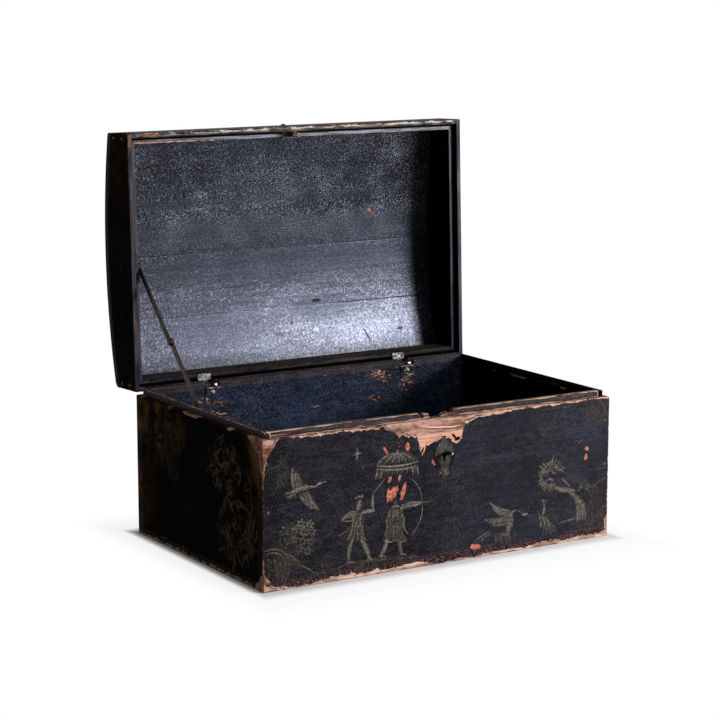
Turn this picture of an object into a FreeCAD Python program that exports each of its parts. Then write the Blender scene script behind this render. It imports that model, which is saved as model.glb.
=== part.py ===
import FreeCAD, Part
import cmath
import math
import os

V = FreeCAD.Vector
X_AXIS = V(1, 0, 0)

# The box. Sizes are in millimetres, outside, with the lid shut. X runs left to right,
# Y front to back and Z up, from the middle of the underside.
length = 600.0
depth = 390.0
ledge_height = 216.0
board = 16.0
bottom_thickness = 12.0
corner_round = 1.5

# The stepped rim: an outer ledge on the boards and a raised inner lip that the lid drops over
ledge = 8.0
lip_height = 9.5
rim_gap = 0.6
rim_side_gap = 0.5

# The domed lid, with heights above the ledge
crest_height = 90.0
shoulder_height = 68.0
stave_thickness = 11.0
stave_count = 4
glue_line = 0.16
front_shoulder_round = 6.0
back_shoulder_round = 10.5
open_angle = 92.0

# Square forged nails, with heads let in flush
nail_width = 2.2
nail_head = 3.8
nail_head_depth = 1.0
nail_length = 34.0
short_nail_length = 7.0
nail_clearance = 0.02
rose_head_taper = 0.35
dome_rings = 3
corner_nails_per_edge = 3
bottom_nails_per_long_edge = 4
bottom_nails_per_end = 2
lid_nail_heights = (21.0, 48.0)

# The two hinges
hinge_offset = 178.0
hinge_set_back = 1.8
hinge_rise = 1.0
hinge_width = 24.0
knuckle_radius = 3.5
middle_knuckle = 11.6
hinge_pin_radius = 1.6
hinge_pin_end = 0.8
leaf_thickness = 1.6
lid_leaf_width = 22.0
leaf_tail = 20.0
notch_clearance = 1.0
running_clearance = 0.05
swing_clearance = 0.4
hinge_rivet_drop = 6.2
hinge_rivet_radius = 4.5
hinge_rivet_dome = 3.0
hinge_rivet_shank = 3.6
leaf_nail_spacing = 15.0
leaf_nail_head = 3.6
leaf_nail_rise = 1.0

# The folding stay on the left side. Its pivots are placed from the back of the chest,
# the upper one by its height above the ledge and the lower one by its depth below it.
stay_lid_reach = 189.0
stay_lid_height = 16.0
stay_foot_reach = 177.0
stay_foot_drop = 12.0
stay_width = 8.5
stay_thickness = 2.4
stay_eye_radius = 6.0
stay_plate_thickness = 2.0
stay_plate_length = 26.0
stay_plate_width = 12.0
stay_layer_gap = 0.3
stay_pin_radius = 2.0
stay_head_radius = 4.2
stay_head_height = 1.2

# The lock, let into the front board below the lip
keyhole_drop = 55.0
keyhole_radius = 3.5
keyhole_slot = 4.2
keyhole_length = 12.0
lock_width = 50.0
lock_shift = -5.0
lock_height = 76.0
lock_plate_thickness = 2.0
lock_plate_lap = 10.0
mortise_front_gap = 1.5
bolt_drop = 6.0
bolt_height = 10.0
bolt_nose = -11.0
bolt_length = 28.0
bolt_travel = 10.0
bolt_play = 0.5
bolt_tail_width = 7.0
bolt_tail_drop = 30.0
talon_radius = 3.0
keeper_width = 3.5
keeper_gap = 0.3
keeper_bar = 1.6
lock_stud_radius = 1.5
lock_stud_head = 3.0
spring_thickness = 0.6
spring_width = 4.0
spring_half_length = 8.0
spring_gap = 0.15

# The staple on the lid that the bolt passes through, and its rivet
staple_place = -16.5
staple_margin = 1.1
staple_leg = 1.4
staple_thickness = 4.0
staple_plate_width = 26.0
staple_plate_thickness = 1.8
staple_leaf_height = 18.0
staple_slot_gap = 1.2
staple_nail_spacing = 20.0
staple_rivet_shift = -5.0
staple_rivet_rise = 9.0
staple_rivet_radius = 5.0
staple_rivet_dome = 4.5
staple_rivet_shank = 3.6
staple_burr_width = 6.4
staple_burr_rise = 1.0

# The keyhole plate on the front
escutcheon_thickness = 0.8
escutcheon_up = 27.0
escutcheon_down = 38.0
escutcheon_half_width = 19.0
escutcheon_bulge = 3.0
escutcheon_pin_width = 1.2
escutcheon_pin_head = 3.0
escutcheon_pin_rise = 0.9
escutcheon_pin_inset = 4.5
escutcheon_pin_length = 4.0

# Places worked out from those sizes
half_length = length / 2
half_depth = depth / 2
inner_x = half_length - board
inner_y = half_depth - board
lip_width = board - ledge
lip_top = ledge_height + lip_height
lid_bottom = ledge_height + rim_gap
tread = lip_top + rim_gap
lid_lip = ledge - rim_side_gap
hinge_axis = V(0, half_depth + hinge_set_back, ledge_height + hinge_rise)
dome_sagitta = crest_height - shoulder_height
dome_radius = (half_depth ** 2 + dome_sagitta ** 2) / (2 * dome_sagitta)
dome_centre = ledge_height + crest_height - dome_radius
core_radius = dome_radius - stave_thickness
hinge_places = {"left": -hinge_offset, "right": hinge_offset}


def block(x_span, y_span, z_span):
    """Square block between the ends of three spans."""
    corner = V(x_span[0], y_span[0], z_span[0])
    return Part.makeBox(x_span[1] - x_span[0], y_span[1] - y_span[0], z_span[1] - z_span[0], corner)


def rod(start, end, radius):
    """Round rod from one point to another."""
    return Part.makeCylinder(radius, start.distanceToPoint(end), start, end.sub(start))


def side_prism(points, x_span):
    """Outline of (y, z) corners carried along X."""
    corners = [V(x_span[0], y, z) for y, z in points]
    outline = Part.makePolygon(corners + corners[:1])
    return Part.Face(outline).extrude(V(x_span[1] - x_span[0], 0, 0))


def bent_strip(path, thickness, x_span):
    """Flat strip bent along a path of (y, z) points, mitred at its bends."""
    places = [complex(y, z) for y, z in path]
    runs = [(b - a) / abs(b - a) for a, b in zip(places, places[1:])]
    left = []
    right = []
    for place, before, after in zip(places, runs[:1] + runs, runs + runs[-1:]):
        square = (before * after.conjugate()).real
        offset = 1j * (before + after) / (1 + square) * thickness / 2
        left.append(place + offset)
        right.append(place - offset)
    return side_prism([(p.real, p.imag) for p in left + right[::-1]], x_span)


def placed(shape, point, direction):
    """Shape made along +Z, moved to a point and turned to a direction."""
    shape.Placement = FreeCAD.Placement(point, FreeCAD.Rotation(V(0, 0, 1), direction))
    return shape


def dome(point, outward, radius, height):
    """Domed head hammered in a few rings to the cap of a ball, standing on a surface."""
    ball = (radius ** 2 + height ** 2) / (2 * height)
    angles = [math.acos(1 - height / ball) * (1 - ring / dome_rings) for ring in range(dome_rings)]
    rings = [V(ball * math.sin(a), 0, ball * math.cos(a) - ball + height) for a in angles]
    outline = Part.makePolygon([V(0, 0, 0)] + rings + [V(0, 0, height), V(0, 0, 0)])
    cap = Part.Face(outline).revolve(V(0, 0, 0), V(0, 0, 1), 360)
    return placed(cap, point, outward)


def domed_rivet(point, outward, shank, depth_in, radius, height):
    """Rivet with a square shank driven into a surface, and a domed head standing on it."""
    body = placed(square_bar(shank, depth_in), point, outward * -1)
    return body.fuse(dome(point, outward, radius, height)).removeSplitter()


def square_bar(width, reach):
    """Square bar along +Z from the origin."""
    return Part.makeBox(width, width, reach, V(-width / 2, -width / 2, 0))


def square_hole(point, inward, width, reach):
    """Close hole for the square shank of a nail or rivet."""
    return placed(square_bar(width + 2 * nail_clearance, reach + nail_clearance), point, inward)


def rose_nail(point, outward, width, reach, head, rise):
    """Square nail with a low four-sided forged head standing on a surface."""
    half = head / 2
    peak = half * rose_head_taper
    forged = Part.makeWedge(-half, 0, -half, -peak, -peak, half, rise, half, peak, peak)
    forged.rotate(V(0, 0, 0), X_AXIS, -90)
    return placed(square_bar(width, reach).fuse(forged).removeSplitter(), point, outward * -1)


def nail(point, inward, reach=nail_length, spread=0.0):
    """Square nail with its flat head flush in the surface. With a spread it is the hole for one."""
    width = nail_width + 2 * spread
    head = nail_head + 2 * spread
    start = -nail_head_depth if spread else 0.0
    shank = Part.makeBox(width, width, reach + spread - start, V(-width / 2, -width / 2, start))
    cap_height = nail_head_depth + spread - start
    cap = Part.makeBox(head, head, cap_height, V(-head / 2, -head / 2, start))
    return placed(shank.fuse(cap).removeSplitter(), point, inward)


def nail_holes(places, reach=nail_length):
    """Holes for nails at a list of (point, inward) places."""
    return [nail(point, inward, reach, nail_clearance) for point, inward in places]


def nail_group(places, reach=nail_length):
    """Separate nails at a list of (point, inward) places."""
    return Part.makeCompound([nail(point, inward, reach) for point, inward in places])


def spread_evenly(low, high, count):
    """Middles of equal parts of a span."""
    step = (high - low) / count
    return [low + step * (index + 0.5) for index in range(count)]


def softened(shape, *places):
    """Rounds the edges that lie at any of the places, each given by two coordinates."""
    def lies_at(edge, place):
        return all(abs(getattr(vertex, axis) - value) < glue_line
                   for vertex in edge.Vertexes for axis, value in place.items())
    edges = [edge for edge in shape.Edges if any(lies_at(edge, place) for place in places)]
    return shape.makeFillet(corner_round, edges)


def softened_outer_board(wood, face):
    """Rounds the outer top edges and the upright corners of the front or the back board."""
    y = face * half_depth
    places = [dict(Y=y, Z=ledge_height)]
    for x in (-half_length, half_length):
        places += [dict(X=x, Y=y), dict(X=x, Z=ledge_height)]
    return softened(wood, *places)


# Nails of the box: through the front and back into the ends, and up through the bottom
corner_nail_places = [
    (V(side * (half_length - board / 2), face * half_depth, z), V(0, -face, 0))
    for side in (-1, 1) for face in (-1, 1)
    for z in spread_evenly(bottom_thickness, ledge_height, corner_nails_per_edge)]
bottom_nail_places = [
    (V(x, side * (half_depth - board / 2), 0), V(0, 0, 1))
    for side in (-1, 1) for x in spread_evenly(-inner_x, inner_x, bottom_nails_per_long_edge)]
bottom_nail_places += [
    (V(side * (half_length - board / 2), y, 0), V(0, 0, 1))
    for side in (-1, 1) for y in spread_evenly(-inner_y, inner_y, bottom_nails_per_end)]

# The lock's places
keyhole_height = ledge_height - keyhole_drop
lock_x = (lock_shift - lock_width / 2, lock_shift + lock_width / 2)
lock_bottom = ledge_height - lock_height
mortise_front = -half_depth + ledge - mortise_front_gap
lock_middle = -half_depth + ledge + lip_width / 2
loop_width = lip_width - staple_margin
bolt_thickness = loop_width - 2 * (staple_leg + bolt_play)
bolt_top = ledge_height - bolt_drop
bolt_y = (lock_middle - bolt_thickness / 2, lock_middle + bolt_thickness / 2)
lock_face = -inner_y
lock_nail_places = [
    (V(x, lock_face + lock_plate_thickness, z), V(0, -1, 0))
    for x in (lock_x[0] - lock_plate_lap / 2, lock_x[1] + lock_plate_lap / 2)
    for z in (lock_bottom, ledge_height - lock_plate_lap)]


def key_cut(y_span):
    """Keyhole through a span of depth: a round eye over a straight slot."""
    eye = rod(V(0, y_span[0], keyhole_height), V(0, y_span[1], keyhole_height), keyhole_radius)
    foot = keyhole_height + keyhole_radius - keyhole_length
    slot = block((-keyhole_slot / 2, keyhole_slot / 2), y_span, (foot, keyhole_height))
    return eye.fuse(slot)


def front_board():
    """Front of the box, mortised from inside for the lock and pierced by the keyhole."""
    wood = block((-half_length, half_length), (-half_depth, -inner_y), (bottom_thickness, ledge_height))
    wood = softened_outer_board(wood, -1)
    mortise = block(lock_x, (mortise_front, -inner_y), (lock_bottom, ledge_height))
    holes = nail_holes(corner_nail_places) + nail_holes(bottom_nail_places)
    holes += nail_holes(lock_nail_places, short_nail_length)
    holes += escutcheon_pin_holes()
    return wood.cut([mortise, key_cut((-half_depth, mortise_front))] + holes)


def knuckle_room(x):
    """Round groove that clears one hinge's knuckle."""
    reach = hinge_width / 2 + notch_clearance
    return on_axis((x - reach, x + reach), knuckle_radius + swing_clearance)


def hinge_rivet_place(x):
    """Where one hinge's rivet stands on the inner tail of its box leaf."""
    return V(x, inner_y - leaf_thickness, ledge_height - hinge_rivet_drop)


def hinge_rivet_hole(x):
    """Hole for one hinge rivet through the leaf's tail and into the back board."""
    return square_hole(hinge_rivet_place(x), V(0, 1, 0), hinge_rivet_shank, board)


def back_board():
    """Back of the box, grooved along its top edge for the two hinge knuckles."""
    wood = block((-half_length, half_length), (inner_y, half_depth), (bottom_thickness, ledge_height))
    wood = softened_outer_board(wood, 1)
    cuts = nail_holes(corner_nail_places) + nail_holes(bottom_nail_places)
    for x in hinge_places.values():
        cuts += [knuckle_room(x), hinge_rivet_hole(x)]
    return wood.cut(cuts)


def end_board(side):
    """One end of the box, set between the front and the back."""
    x_span = sorted((side * half_length, side * inner_x))
    wood = block(x_span, (-inner_y, inner_y), (bottom_thickness, ledge_height))
    wood = softened(wood, dict(X=side * half_length, Z=ledge_height))
    cuts = nail_holes(corner_nail_places) + nail_holes(bottom_nail_places)
    if side < 0:
        cuts += nail_holes(foot_nail_places, short_nail_length)
    return wood.cut(cuts)


def bottom_board():
    """Bottom of the box, nailed up under the four walls with its edges flush."""
    wood = block((-half_length, half_length), (-half_depth, half_depth), (0, bottom_thickness))
    corners = [dict(X=x, Y=y) for x in (-half_length, half_length) for y in (-half_depth, half_depth)]
    edges = [dict(X=x, Z=0) for x in (-half_length, half_length)]
    edges += [dict(Y=y, Z=0) for y in (-half_depth, half_depth)]
    return softened(wood, *corners, *edges).cut(nail_holes(bottom_nail_places))


def lip_strip(x_span, y_span):
    """Strip of the raised lip, standing on the inner half of the wall tops, with soft top edges."""
    places = [dict(X=x, Z=lip_top) for x in x_span] + [dict(Y=y, Z=lip_top) for y in y_span]
    return softened(block(x_span, y_span, (ledge_height, lip_top)), *places)


def side_lip(side):
    """Lip over one end, running right through from front to back."""
    reach = half_depth - ledge
    return lip_strip(sorted((side * (half_length - ledge), side * inner_x)), (-reach, reach))


def front_lip(side):
    """Lip over the front on one side of the lock. The left one is cut on a slant at the lock."""
    y_span = (-half_depth + ledge, -inner_y)
    if side > 0:
        return lip_strip((lock_x[1] + notch_clearance, inner_x), y_span)
    strip = lip_strip((-inner_x, lock_x[0] - notch_clearance), y_span)
    end = lock_x[0] - notch_clearance
    corners = ((end, ledge_height), (end, lip_top), (end - lip_height, lip_top))
    slant = [V(x, y_span[0], z) for x, z in corners]
    wedge = Part.Face(Part.makePolygon(slant + slant[:1])).extrude(V(0, lip_width, 0))
    return strip.cut(wedge)


def back_lips():
    """Lip over the back in three strips, with a notch for each hinge between them."""
    notch = hinge_width / 2 + notch_clearance
    y_span = (inner_y, half_depth - ledge)
    return {"back_lip_left": lip_strip((-inner_x, -hinge_offset - notch), y_span),
            "back_lip_middle": lip_strip((-hinge_offset + notch, hinge_offset - notch), y_span),
            "back_lip_right": lip_strip((hinge_offset + notch, inner_x), y_span)}


def lock_plate():
    """Plate nailed over the lock on the inside of the front board."""
    face_y = (lock_face, lock_face + lock_plate_thickness)
    face = block((lock_x[0] - lock_plate_lap, lock_x[1] + lock_plate_lap), face_y,
                 (lock_bottom - lock_plate_lap, ledge_height))
    stud_bore = lock_stud_rod(lock_stud_radius + nail_clearance)
    return face.cut([stud_bore] + nail_holes(lock_nail_places, short_nail_length))


def lock_top_plate():
    """Top of the lock at the level of the ledge, with a slot for the staple against the lock plate."""
    z_span = (ledge_height - lock_plate_thickness, ledge_height)
    half_slot = staple_thickness / 2 + staple_slot_gap
    slot = block((staple_place - half_slot, staple_place + half_slot),
                 (lock_middle - loop_width / 2 - staple_slot_gap, lock_face), z_span)
    return block(lock_x, (mortise_front, lock_face), z_span).cut(slot)


stud_place = bolt_nose + bolt_length - bolt_tail_width - bolt_travel + lock_stud_radius
bolt_middle = bolt_top - bolt_height / 2


def lock_stud_rod(radius):
    """Shank of the stud that guides the bolt, from the plate to the front of the bolt."""
    return rod(V(stud_place, lock_face + lock_plate_thickness, bolt_middle),
               V(stud_place, bolt_y[0] - keeper_gap, bolt_middle), radius)


def lock_stud():
    """Round stud riveted in the lock plate, with a flat head in front of the bolt."""
    front = V(stud_place, bolt_y[0] - keeper_gap, bolt_middle)
    head = rod(front, front - V(0, keeper_gap * 2, 0), lock_stud_head)
    return lock_stud_rod(lock_stud_radius).fuse(head).removeSplitter()


def lock_bolt():
    """Flat bolt, slotted for its stud, with a tail that the key's bit catches."""
    end = bolt_nose + bolt_length
    bar = block((bolt_nose, end), bolt_y, (bolt_top - bolt_height, bolt_top))
    tail = block((end - bolt_tail_width, end), bolt_y, (bolt_top - bolt_height - bolt_tail_drop, bolt_top))
    plate = bar.fuse(tail).removeSplitter()
    half_slot = lock_stud_radius + running_clearance * 2
    slot_z = (bolt_middle - half_slot, bolt_middle + half_slot)
    slot = block((stud_place, stud_place + bolt_travel), bolt_y, slot_z)
    talon_height = bolt_top - bolt_height - bolt_tail_drop + talon_radius
    cuts = [slot, rod(V(end - bolt_tail_width, bolt_y[0], talon_height),
                      V(end - bolt_tail_width, bolt_y[1], talon_height), talon_radius)]
    for x in (stud_place, stud_place + bolt_travel):
        cuts.append(rod(V(x, bolt_y[0], bolt_middle), V(x, bolt_y[1], bolt_middle), half_slot))
    return plate.cut(cuts)


def lock_keeper():
    """Strap on the lock plate that the bolt's nose slides through."""
    left = bolt_nose + keeper_gap
    x_span = (left, left + keeper_width)
    front = bolt_y[0] - keeper_gap - keeper_bar
    low = bolt_top - bolt_height - keeper_gap
    high = bolt_top + keeper_gap
    strap = block(x_span, (front, lock_face), (low - keeper_bar, high + keeper_bar))
    return strap.cut(block(x_span, (front + keeper_bar, lock_face), (low, high)))


def lock_spring():
    """Bowed leaf spring between the turned top of the plate and the bolt."""
    middle = stud_place + spring_half_length / 2
    high = ledge_height - lock_plate_thickness
    low = bolt_top + spring_gap
    y = lock_middle - spring_width / 2
    edges = []
    ends = []
    for z_end, z_low in ((high, low + spring_thickness), (high - spring_thickness, low)):
        reach = V(spring_half_length, 0, 0)
        points = [V(middle, y, z_end) - reach, V(middle, y, z_low), V(middle, y, z_end) + reach]
        edges.append(Part.Arc(*points).toShape())
        ends.append((points[0], points[2]))
    caps = [Part.makeLine(ends[0][side], ends[1][side]) for side in (0, 1)]
    outline = Part.Wire(Part.__sortEdges__(edges + caps))
    return Part.Face(outline).extrude(V(0, spring_width, 0))


def escutcheon_pin_places():
    """Four pins near the points of the keyhole plate."""
    y = -half_depth - escutcheon_thickness
    reach_x = escutcheon_half_width - escutcheon_pin_inset
    places = [(reach_x, 0), (-reach_x, 0), (0, escutcheon_up - escutcheon_pin_inset * 1.5),
              (0, -escutcheon_down + escutcheon_pin_inset * 1.5)]
    return [(V(x, y, keyhole_height + z), V(0, -1, 0)) for x, z in places]


def escutcheon_pin_holes():
    """Holes for the keyhole plate's pins, through it and into the front board."""
    return [square_hole(place, outward * -1, escutcheon_pin_width, escutcheon_pin_length)
            for place, outward in escutcheon_pin_places()]


def escutcheon():
    """Kite-shaped keyhole plate with gently bowed sides."""
    corners = [V(0, 0, escutcheon_up), V(escutcheon_half_width, 0, 0),
               V(0, 0, -escutcheon_down), V(-escutcheon_half_width, 0, 0)]
    sides = []
    for a, b in zip(corners, corners[1:] + corners[:1]):
        middle = (a + b) * 0.5
        bowed = middle + V(middle.x, 0, middle.z).normalize() * escutcheon_bulge
        sides.append(Part.Arc(a, bowed, b).toShape())
    plate = Part.Face(Part.Wire(sides)).extrude(V(0, -escutcheon_thickness, 0))
    plate.translate(V(0, -half_depth, keyhole_height))
    return plate.cut([key_cut((-half_depth - escutcheon_thickness, -half_depth))] + escutcheon_pin_holes())


def escutcheon_pins():
    """Small pins that hold the keyhole plate."""
    return Part.makeCompound([
        rose_nail(place, outward, escutcheon_pin_width, escutcheon_pin_length,
                  escutcheon_pin_head, escutcheon_pin_rise)
        for place, outward in escutcheon_pin_places()])


def on_axis(x_span, radius):
    """Round rod on the hinge axis over a span of X."""
    return rod(hinge_axis + V(x_span[0], 0, 0), hinge_axis + V(x_span[1], 0, 0), radius)


def knuckle(x_span):
    """Rolled eye of a hinge leaf, still without its bore."""
    return on_axis(x_span, knuckle_radius)


def pin_bore(x, clearance):
    """Bore for a hinge pin over the whole width of one hinge."""
    return on_axis((x - hinge_width, x + hinge_width), hinge_pin_radius + clearance)


def hinge_box_leaf(x):
    """Leaf of the box: two outer eyes, a strap over the ledge and a tail down the inside."""
    half = hinge_width / 2
    half_middle = middle_knuckle / 2 + swing_clearance / 2
    strap_height = ledge_height + leaf_thickness / 2
    tail_y = inner_y - leaf_thickness / 2
    path = [(hinge_axis.y, strap_height), (tail_y, strap_height), (tail_y, ledge_height - leaf_tail)]
    leaf = bent_strip(path, leaf_thickness, (x - half, x + half))
    for span in ((x - half, x - half_middle), (x + half_middle, x + half)):
        leaf = leaf.fuse(knuckle(span))
    room = on_axis((x - half_middle, x + half_middle), knuckle_radius + swing_clearance)
    return leaf.removeSplitter().cut([room, pin_bore(x, nail_clearance), hinge_rivet_hole(x)])


def lid_leaf_nail_places(x):
    """Two nails that hold one lid leaf to the tread of the lid's rim."""
    y = half_depth - lid_lip - lip_width / 2
    z = tread - leaf_thickness
    return [(V(x + side * leaf_nail_spacing / 2, y, z), V(0, 0, -1)) for side in (-1, 1)]


def hinge_lid_leaf(x):
    """Leaf of the lid: a plate on the tread, cranked down to one middle eye."""
    plate_z = tread - leaf_thickness / 2
    eye_z = hinge_axis.z + knuckle_radius - leaf_thickness / 2
    crank = plate_z - eye_z
    neck_start = hinge_axis.y - hinge_set_back - crank
    path = [(neck_start - leaf_thickness, plate_z), (neck_start, plate_z),
            (neck_start + crank, eye_z), (hinge_axis.y, eye_z)]
    half_middle = middle_knuckle / 2
    leaf = bent_strip(path, leaf_thickness, (x - half_middle, x + half_middle))
    plate = block((x - lid_leaf_width / 2, x + lid_leaf_width / 2), (inner_y, neck_start),
                  (tread - leaf_thickness, tread))
    leaf = leaf.fuse([plate, knuckle((x - half_middle, x + half_middle))]).removeSplitter()
    return leaf.cut([pin_bore(x, running_clearance)] + leaf_nail_holes())


def hinge_pin(x):
    """Straight pin through the three eyes, a little long at both ends."""
    reach = hinge_width / 2 + hinge_pin_end
    return on_axis((x - reach, x + reach), hinge_pin_radius)


def hinge_rivets():
    """Domed rivets through the tails of the box leaves."""
    return Part.makeCompound([
        domed_rivet(hinge_rivet_place(x), V(0, -1, 0), hinge_rivet_shank, board,
                  hinge_rivet_radius, hinge_rivet_dome) for x in hinge_places.values()])


def hinge_nails():
    """Forged nails through the lid leaves."""
    places = [place for x in hinge_places.values() for place in lid_leaf_nail_places(x)]
    return Part.makeCompound([
        rose_nail(place, outward, nail_width, leaf_thickness + short_nail_length,
                  leaf_nail_head, leaf_nail_rise)
        for place, outward in places])


def leaf_nail_holes():
    """Holes for the lid leaves' nails in the back rail of the lid."""
    return [square_hole(place, outward * -1, nail_width, leaf_thickness + short_nail_length)
            for x in hinge_places.values() for place, outward in lid_leaf_nail_places(x)]


# Nails of the lid: through its ends into the rails, and through the staves into its ends
lid_end_nail_places = [
    (V(side * half_length, face * (half_depth - board / 2), ledge_height + z), V(-side, 0, 0))
    for side in (-1, 1) for face in (-1, 1) for z in lid_nail_heights]
dome_half_angle = math.asin(half_depth / dome_radius)
stave_angles = [dome_half_angle * (2 * index / stave_count - 1) for index in range(stave_count + 1)]
stave_nail_angles = spread_evenly(-dome_half_angle, dome_half_angle, 2 * stave_count)
stave_nail_places = [
    (V(side * (half_length - board / 2), dome_radius * math.sin(angle),
       dome_centre + dome_radius * math.cos(angle)), V(0, -math.sin(angle), -math.cos(angle)))
    for side in (-1, 1) for angle in stave_nail_angles]


def lid_core(x_span):
    """Everything of the lid under the staves, bounded by an arc above."""
    edge_height = dome_centre + math.sqrt(core_radius ** 2 - half_depth ** 2)
    corners = [V(x_span[0], -half_depth, edge_height), V(x_span[0], -half_depth, lid_bottom),
               V(x_span[0], half_depth, lid_bottom), V(x_span[0], half_depth, edge_height)]
    lines = [Part.makeLine(a, b) for a, b in zip(corners, corners[1:])]
    arch = Part.Arc(corners[3], V(x_span[0], 0, dome_centre + core_radius), corners[0]).toShape()
    return Part.Face(Part.Wire(lines + [arch])).extrude(V(x_span[1] - x_span[0], 0, 0))


def rim_rebate():
    """Room under the lid's rim for the raised lip of the box."""
    reach_x = half_length - lid_lip
    reach_y = half_depth - lid_lip
    return block((-reach_x, reach_x), (-reach_y, reach_y), (lid_bottom, tread))


def lid_rail(face):
    """Front or back rail of the lid, between its ends."""
    core = lid_core((-inner_x, inner_x))
    y_span = sorted((face * half_depth, face * inner_y))
    rail = core.common(block((-inner_x, inner_x), y_span, (lid_bottom, ledge_height + crest_height)))
    rail = softened(rail, dict(Y=face * half_depth, Z=lid_bottom))
    return rail.cut([rim_rebate()] + nail_holes(lid_end_nail_places))


def lid_front_rail():
    """Front rail, bored for the staple's rivet and nails."""
    return lid_rail(-1).cut([staple_rivet_hole()] + nail_holes(staple_nail_places, short_nail_length))


def lid_back_rail():
    """Back rail, with its outer lip notched for the hinges."""
    reach = hinge_width / 2 + notch_clearance
    notches = [block((x - reach, x + reach), (half_depth - lid_lip, half_depth), (lid_bottom, tread))
               for x in hinge_places.values()]
    return lid_rail(1).cut(notches + leaf_nail_holes())


def lid_end(side):
    """Domed end of the lid, over the ends of the rails."""
    end = lid_core(sorted((side * half_length, side * inner_x)))
    x = side * half_length
    places = [dict(X=x, Z=lid_bottom)]
    for y in (-half_depth, half_depth):
        places += [dict(X=x, Y=y), dict(Y=y, Z=lid_bottom)]
    end = softened(end, *places)
    cuts = [rim_rebate()] + nail_holes(lid_end_nail_places) + nail_holes(stave_nail_places)
    if side < 0:
        cuts += nail_holes(lid_plate_nail_places, short_nail_length)
    return end.cut(cuts)


def lid_stave(index):
    """One of the long boards of the dome, from end to end, with radial joints between them."""
    spill = stave_thickness / dome_radius
    first = stave_angles[index] - (spill if index == 0 else 0)
    last = stave_angles[index + 1] + (spill if index == stave_count - 1 else 0)
    inner = core_radius + glue_line
    edges = []
    for radius in (dome_radius, inner):
        points = [V(-half_length, radius * math.sin(a), dome_centre + radius * math.cos(a))
                  for a in (first, (first + last) / 2, last)]
        edges.append(Part.Arc(*points).toShape())
    for angle in (first, last):
        points = [V(-half_length, radius * math.sin(angle), dome_centre + radius * math.cos(angle))
                  for radius in (dome_radius, inner)]
        edges.append(Part.makeLine(*points))
    profile = Part.Face(Part.Wire(Part.__sortEdges__(edges)))
    stave = profile.extrude(V(length, 0, 0))
    stave = stave.common(block((-half_length, half_length), (-half_depth, half_depth),
                               (lid_bottom, ledge_height + crest_height)))
    for face, radius in ((-1, front_shoulder_round), (1, back_shoulder_round)):
        corner = V(0, face * half_depth, ledge_height + shoulder_height)
        shoulder = [edge for edge in stave.Edges if edge.CenterOfMass.distanceToPoint(corner) < glue_line]
        if shoulder:
            stave = stave.makeFillet(radius, shoulder)
    return stave.cut(nail_holes(stave_nail_places))


loop_top = tread - staple_plate_thickness
loop_hole_bottom = bolt_top - bolt_height - bolt_play
loop_y = (lock_middle - loop_width / 2, lock_middle + loop_width / 2)
staple_nail_places = [
    (V(staple_place + side * staple_nail_spacing / 2, lock_middle, loop_top), V(0, 0, 1))
    for side in (-1, 1)]


def staple_rivet_place():
    """Middle of the staple's rivet on the outer face of the front rail."""
    return V(staple_place + staple_rivet_shift, -half_depth, tread + staple_rivet_rise)


def staple_rivet_hole():
    """Hole for the staple's rivet through the front rail and the staple's leaf."""
    return square_hole(staple_rivet_place(), V(0, 1, 0), staple_rivet_shank, board + staple_plate_thickness)


def lid_staple():
    """Staple for the lock: a plate on the tread, a leaf up inside and a loop that hangs down."""
    half_plate = staple_plate_width / 2
    x_span = (staple_place - half_plate, staple_place + half_plate)
    plate = block(x_span, (loop_y[0], -inner_y), (loop_top, tread))
    leaf_y = (-inner_y, -inner_y + staple_plate_thickness)
    leaf = block(x_span, leaf_y, (loop_top, tread + staple_leaf_height))
    half_thickness = staple_thickness / 2
    loop_x = (staple_place - half_thickness, staple_place + half_thickness)
    loop = block(loop_x, loop_y, (loop_hole_bottom - staple_leg * 2, loop_top))
    eye = block(loop_x, (loop_y[0] + staple_leg, loop_y[1] - staple_leg),
                (loop_hole_bottom, bolt_top + bolt_play))
    staple = plate.fuse([leaf, loop]).removeSplitter()
    return staple.cut([eye, staple_rivet_hole()] + nail_holes(staple_nail_places, short_nail_length))


def staple_rivet():
    """Rivet through the front rail, domed outside and burred over the staple's leaf inside."""
    place = staple_rivet_place()
    inside = place + V(0, board + staple_plate_thickness, 0)
    rivet = domed_rivet(place, V(0, -1, 0), staple_rivet_shank, board + staple_plate_thickness,
                        staple_rivet_radius, staple_rivet_dome)
    burr = placed(square_bar(staple_burr_width, staple_burr_rise), inside, V(0, 1, 0))
    return rivet.fuse(burr).removeSplitter()


# The stay lies just inside the left walls, in layers from the wall: plates, upper bar, lower bar
wall_x = -inner_x
upper_bar_x = wall_x + stay_plate_thickness + stay_layer_gap
lower_bar_x = upper_bar_x + stay_thickness + stay_layer_gap
stay_lid_shut = V(0, half_depth - stay_lid_reach, ledge_height + stay_lid_height)
stay_foot = V(0, half_depth - stay_foot_reach, ledge_height - stay_foot_drop)


def opened(shape):
    """Turns a piece of the lid from shut to standing open."""
    turned = shape.copy()
    turned.rotate(hinge_axis, X_AXIS, -open_angle)
    return turned


def opened_point(point):
    """Where a point of the shut lid lies when the lid stands open."""
    turn = FreeCAD.Rotation(X_AXIS, -open_angle)
    return hinge_axis + turn.multVec(point - hinge_axis)


stay_lid_open = opened_point(stay_lid_shut)
stay_line = stay_lid_open - stay_foot
stay_bar_length = math.hypot(stay_line.y, stay_line.z) / 2
stay_knee = stay_foot + stay_line * 0.5
lid_plate_nail_places = [
    (V(wall_x + stay_plate_thickness, stay_lid_shut.y + reach, stay_lid_shut.z), V(-1, 0, 0))
    for reach in (stay_plate_length - stay_eye_radius, stay_plate_length / 2)]
foot_nail_places = [
    (V(wall_x + stay_plate_thickness, stay_foot.y, stay_foot.z - reach), V(-1, 0, 0))
    for reach in (stay_plate_length - stay_eye_radius, stay_plate_length / 2)]


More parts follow.
